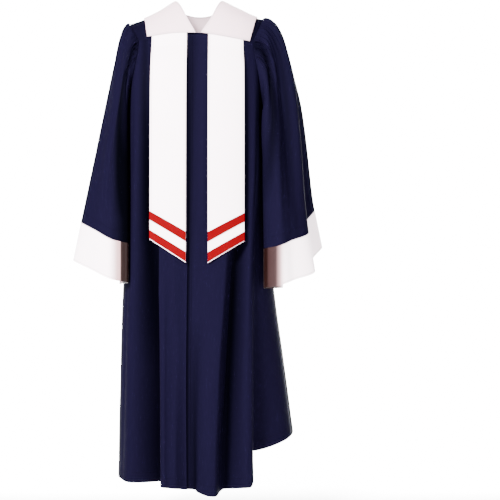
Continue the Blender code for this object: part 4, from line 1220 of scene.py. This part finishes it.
def satin_material(name, stitch_rows, pale, warm, turned=()):
    """White satin with long fine floats, faintly warmer in patches, rows of thread stitches, and painted
    shade along its edges. turned has a row for each band of painted shadow on a cuff's side that turns
    in to the body: the distance from the middle where it is full, where it has faded out, and its colour."""
    tree = Tree(name, "white_satin")
    _, across, down = tree.uv("cloth")
    _, across_back, down_back = tree.uv("edges")
    floats = tree.wave(tree.math("ADD", across, tree.math("MULTIPLY", down, 0.35)), THREAD_PITCH)
    cloud = tree.noise(9.0, 3.0)
    colour = tree.mix(tree.math("MULTIPLY_ADD", cloud, 0.8, -0.15), pale, warm)
    places = {"across": across, "down": down, "across_back": across_back, "down_back": down_back}
    rows = [
        tree.stitches(places[edge], places["down" if "across" in edge else "across"], at, 0.0030, 0.0007)
        for edge, at in stitch_rows
    ]
    seam = total(tree, rows)
    colour = tree.mix(tree.math("MINIMUM", seam, 1.0), colour, SATIN_THREAD_AND_EDGE_SHADE)
    # Painted shade along each piece's edges, where its thickness rolls under, in the thread's colour
    painted_edge_shade = total(tree, [tree.line(edge, 0.0, 0.0022) for edge in (across, across_back, down)])
    colour = tree.mix(tree.math("MINIMUM", painted_edge_shade, 0.6), colour, SATIN_THREAD_AND_EDGE_SHADE)
    # Painted shadow on a cuff's side that turns in to the body, by distance from the middle
    if turned:
        place = tree.add("ShaderNodeTexCoord", {}, output=3)
        side = tree.math("ABSOLUTE", tree.add("ShaderNodeSeparateXYZ", {0: place}))
    for full, faded, tone in turned:
        colour = tree.mix(tree.fade(side, full, faded), colour, tone)
    rough = tree.math("MULTIPLY_ADD", cloud, 0.12, 0.34)
    normal = tree.bump(floats, 0.00005, 0.25)
    normal = tree.bump(tree.noise(26.0, 3.0), 0.0012, 0.28, normal)
    normal = tree.bump(seam, -0.0004, 0.8, normal)
    return tree.finish(
        Base_Color=colour,
        Roughness=rough,
        Normal=normal,
        Specular_IOR_Level=0.10,
        Sheen_Weight=0.02,
        Sheen_Roughness=0.4,
        Sheen_Tint=(1.0, 0.92, 0.93, 1.0),
    )


def ribbon_material(name):
    """Red ribbed ribbon, with fine cross ribs, a paler selvedge and stitches along both edges."""
    tree = Tree(name, "red_ribbon")
    _, across, down = tree.uv("cloth")
    _, _, down_back = tree.uv("edges")
    ribs = tree.wave(across, 0.0009)
    cloud = tree.noise(20.0, 3.0)
    colour = tree.mix(tree.math("MULTIPLY_ADD", cloud, 0.5, tree.math("MULTIPLY", ribs, 0.25)), RIBBON_RED, RIBBON_DEEP)
    pale = tree.line(down_back, 0.0, 0.0022)
    colour = tree.mix(tree.math("MULTIPLY", pale, 0.75), colour, RIBBON_PALE)
    rows = [tree.stitches(edge, across, 0.0020, 0.0026, 0.0006) for edge in (down, down_back)]
    seam = total(tree, rows)
    normal = tree.bump(ribs, 0.00012, 0.4)
    normal = tree.bump(seam, -0.0003, 0.8, normal)
    return tree.finish(
        Base_Color=colour,
        Roughness=tree.math("MULTIPLY_ADD", cloud, 0.12, 0.36),
        Normal=normal,
        Specular_IOR_Level=0.003,
    )


def stage_and_lights():
    """A pale lit paper floor that curves up behind the gown, four soft lights and the camera."""
    rows = [(-6.0, FLOOR_Z), (2.2, FLOOR_Z)]
    for turn in np.linspace(0, math.pi / 2, 13)[1:]:
        rows.append((2.2 + 1.6 * math.sin(turn), FLOOR_Z + 1.6 * (1 - math.cos(turn))))
    rows.append((3.8, 5.0))
    points = [(x, y, z) for y, z in rows for x in (-7.0, 7.0)]
    faces = [(2 * i, 2 * i + 1, 2 * i + 3, 2 * i + 2) for i in range(len(rows) - 1)]
    mesh = bpy.data.meshes.new("studio_floor")
    mesh.from_pydata(points, [], faces)
    mesh.shade_smooth()
    tree = Tree("studio_paper")
    grain = tree.noise(30.0, 3.0)
    colour = tree.mix(grain, FLOOR_PALE, tuple(0.985 * v for v in FLOOR_PALE))
    place = tree.add("ShaderNodeTexCoord", {}, output=3)
    side, depth, height = (tree.add("ShaderNodeSeparateXYZ", {0: place}, output=i) for i in range(3))
    side = tree.math("ABSOLUTE", side)
    glow = tree.math("MULTIPLY", tree.fade(side, 1.9, 3.0), tree.fade(height, 1.3, 2.4))
    glow = tree.math("MULTIPLY", glow, tree.fade(tree.math("SUBTRACT", 0.0, depth), -0.55, -0.15))
    mesh.materials.append(
        tree.finish(
            Base_Color=colour,
            Roughness=0.9,
            Specular_IOR_Level=0.1,
            Emission_Color=(1.0, 1.0, 1.0),
            Emission_Strength=tree.math("MULTIPLY", glow, PAPER_GLOW),
        )
    )
    floor = bpy.data.objects.new("studio_floor", mesh)
    bpy.context.collection.objects.link(floor)
    for name, place, target, size, power in LIGHTS:
        data = bpy.data.lights.new(name, "AREA")
        data.shape = "DISK"
        data.size = size
        data.energy = power
        light = bpy.data.objects.new(name, data)
        bpy.context.collection.objects.link(light)
        light.location = place
        aim = Vector(target) - Vector(place)
        light.rotation_euler = aim.to_track_quat("-Z", "Y").to_euler()
    world = bpy.data.worlds.new("studio_air")
    world.use_nodes = True
    world.node_tree.nodes["Background"].inputs["Color"].default_value = (1.0, 1.0, 1.0, 1.0)
    world.node_tree.nodes["Background"].inputs["Strength"].default_value = WORLD_STRENGTH
    bpy.context.scene.world = world
    data = bpy.data.cameras.new("camera")
    data.lens = CAMERA_LENS
    data.sensor_width = 36.0
    camera = bpy.data.objects.new("camera", data)
    camera.location = CAMERA_PLACE
    camera.rotation_euler = (math.pi / 2, 0.0, 0.0)
    bpy.context.collection.objects.link(camera)
    bpy.context.scene.camera = camera


def main():
    body_navy = navy_material("navy_weave", (("down_back", 0.026), ("across", 0.014), ("down", 0.012)))
    rows = (("across", 0.005), ("across_back", 0.005), ("down_back", 0.005))
    white = satin_material("white_floats", rows, SATIN_PALE, SATIN_WARM)
    # The cuffs' satin carries painted shadow on the sides that turn in to the body
    cuffs = {
        name: satin_material(f"cuff_{name}_floats", rows, SATIN_PALE, SATIN_WARM, turned)
        for name, turned in CUFF_PAINTED_SHADE.items()
    }
    rows = (("down", 0.004), ("down_back", 0.004), ("across", 0.004), ("across_back", 0.004))
    # A darker copy of the white satin for the collar: painted shade, with its own pinker tint
    collar = satin_material("collar_floats", rows, COLLAR_SHADED_PALE, COLLAR_SHADED_WARM)
    red = ribbon_material("red_ribs")
    body_pieces(body_navy)
    sleeve_pieces(body_navy, cuffs)
    neck_pieces(body_navy, collar)
    tail_pieces(white, red)
    stage_and_lights()


main()
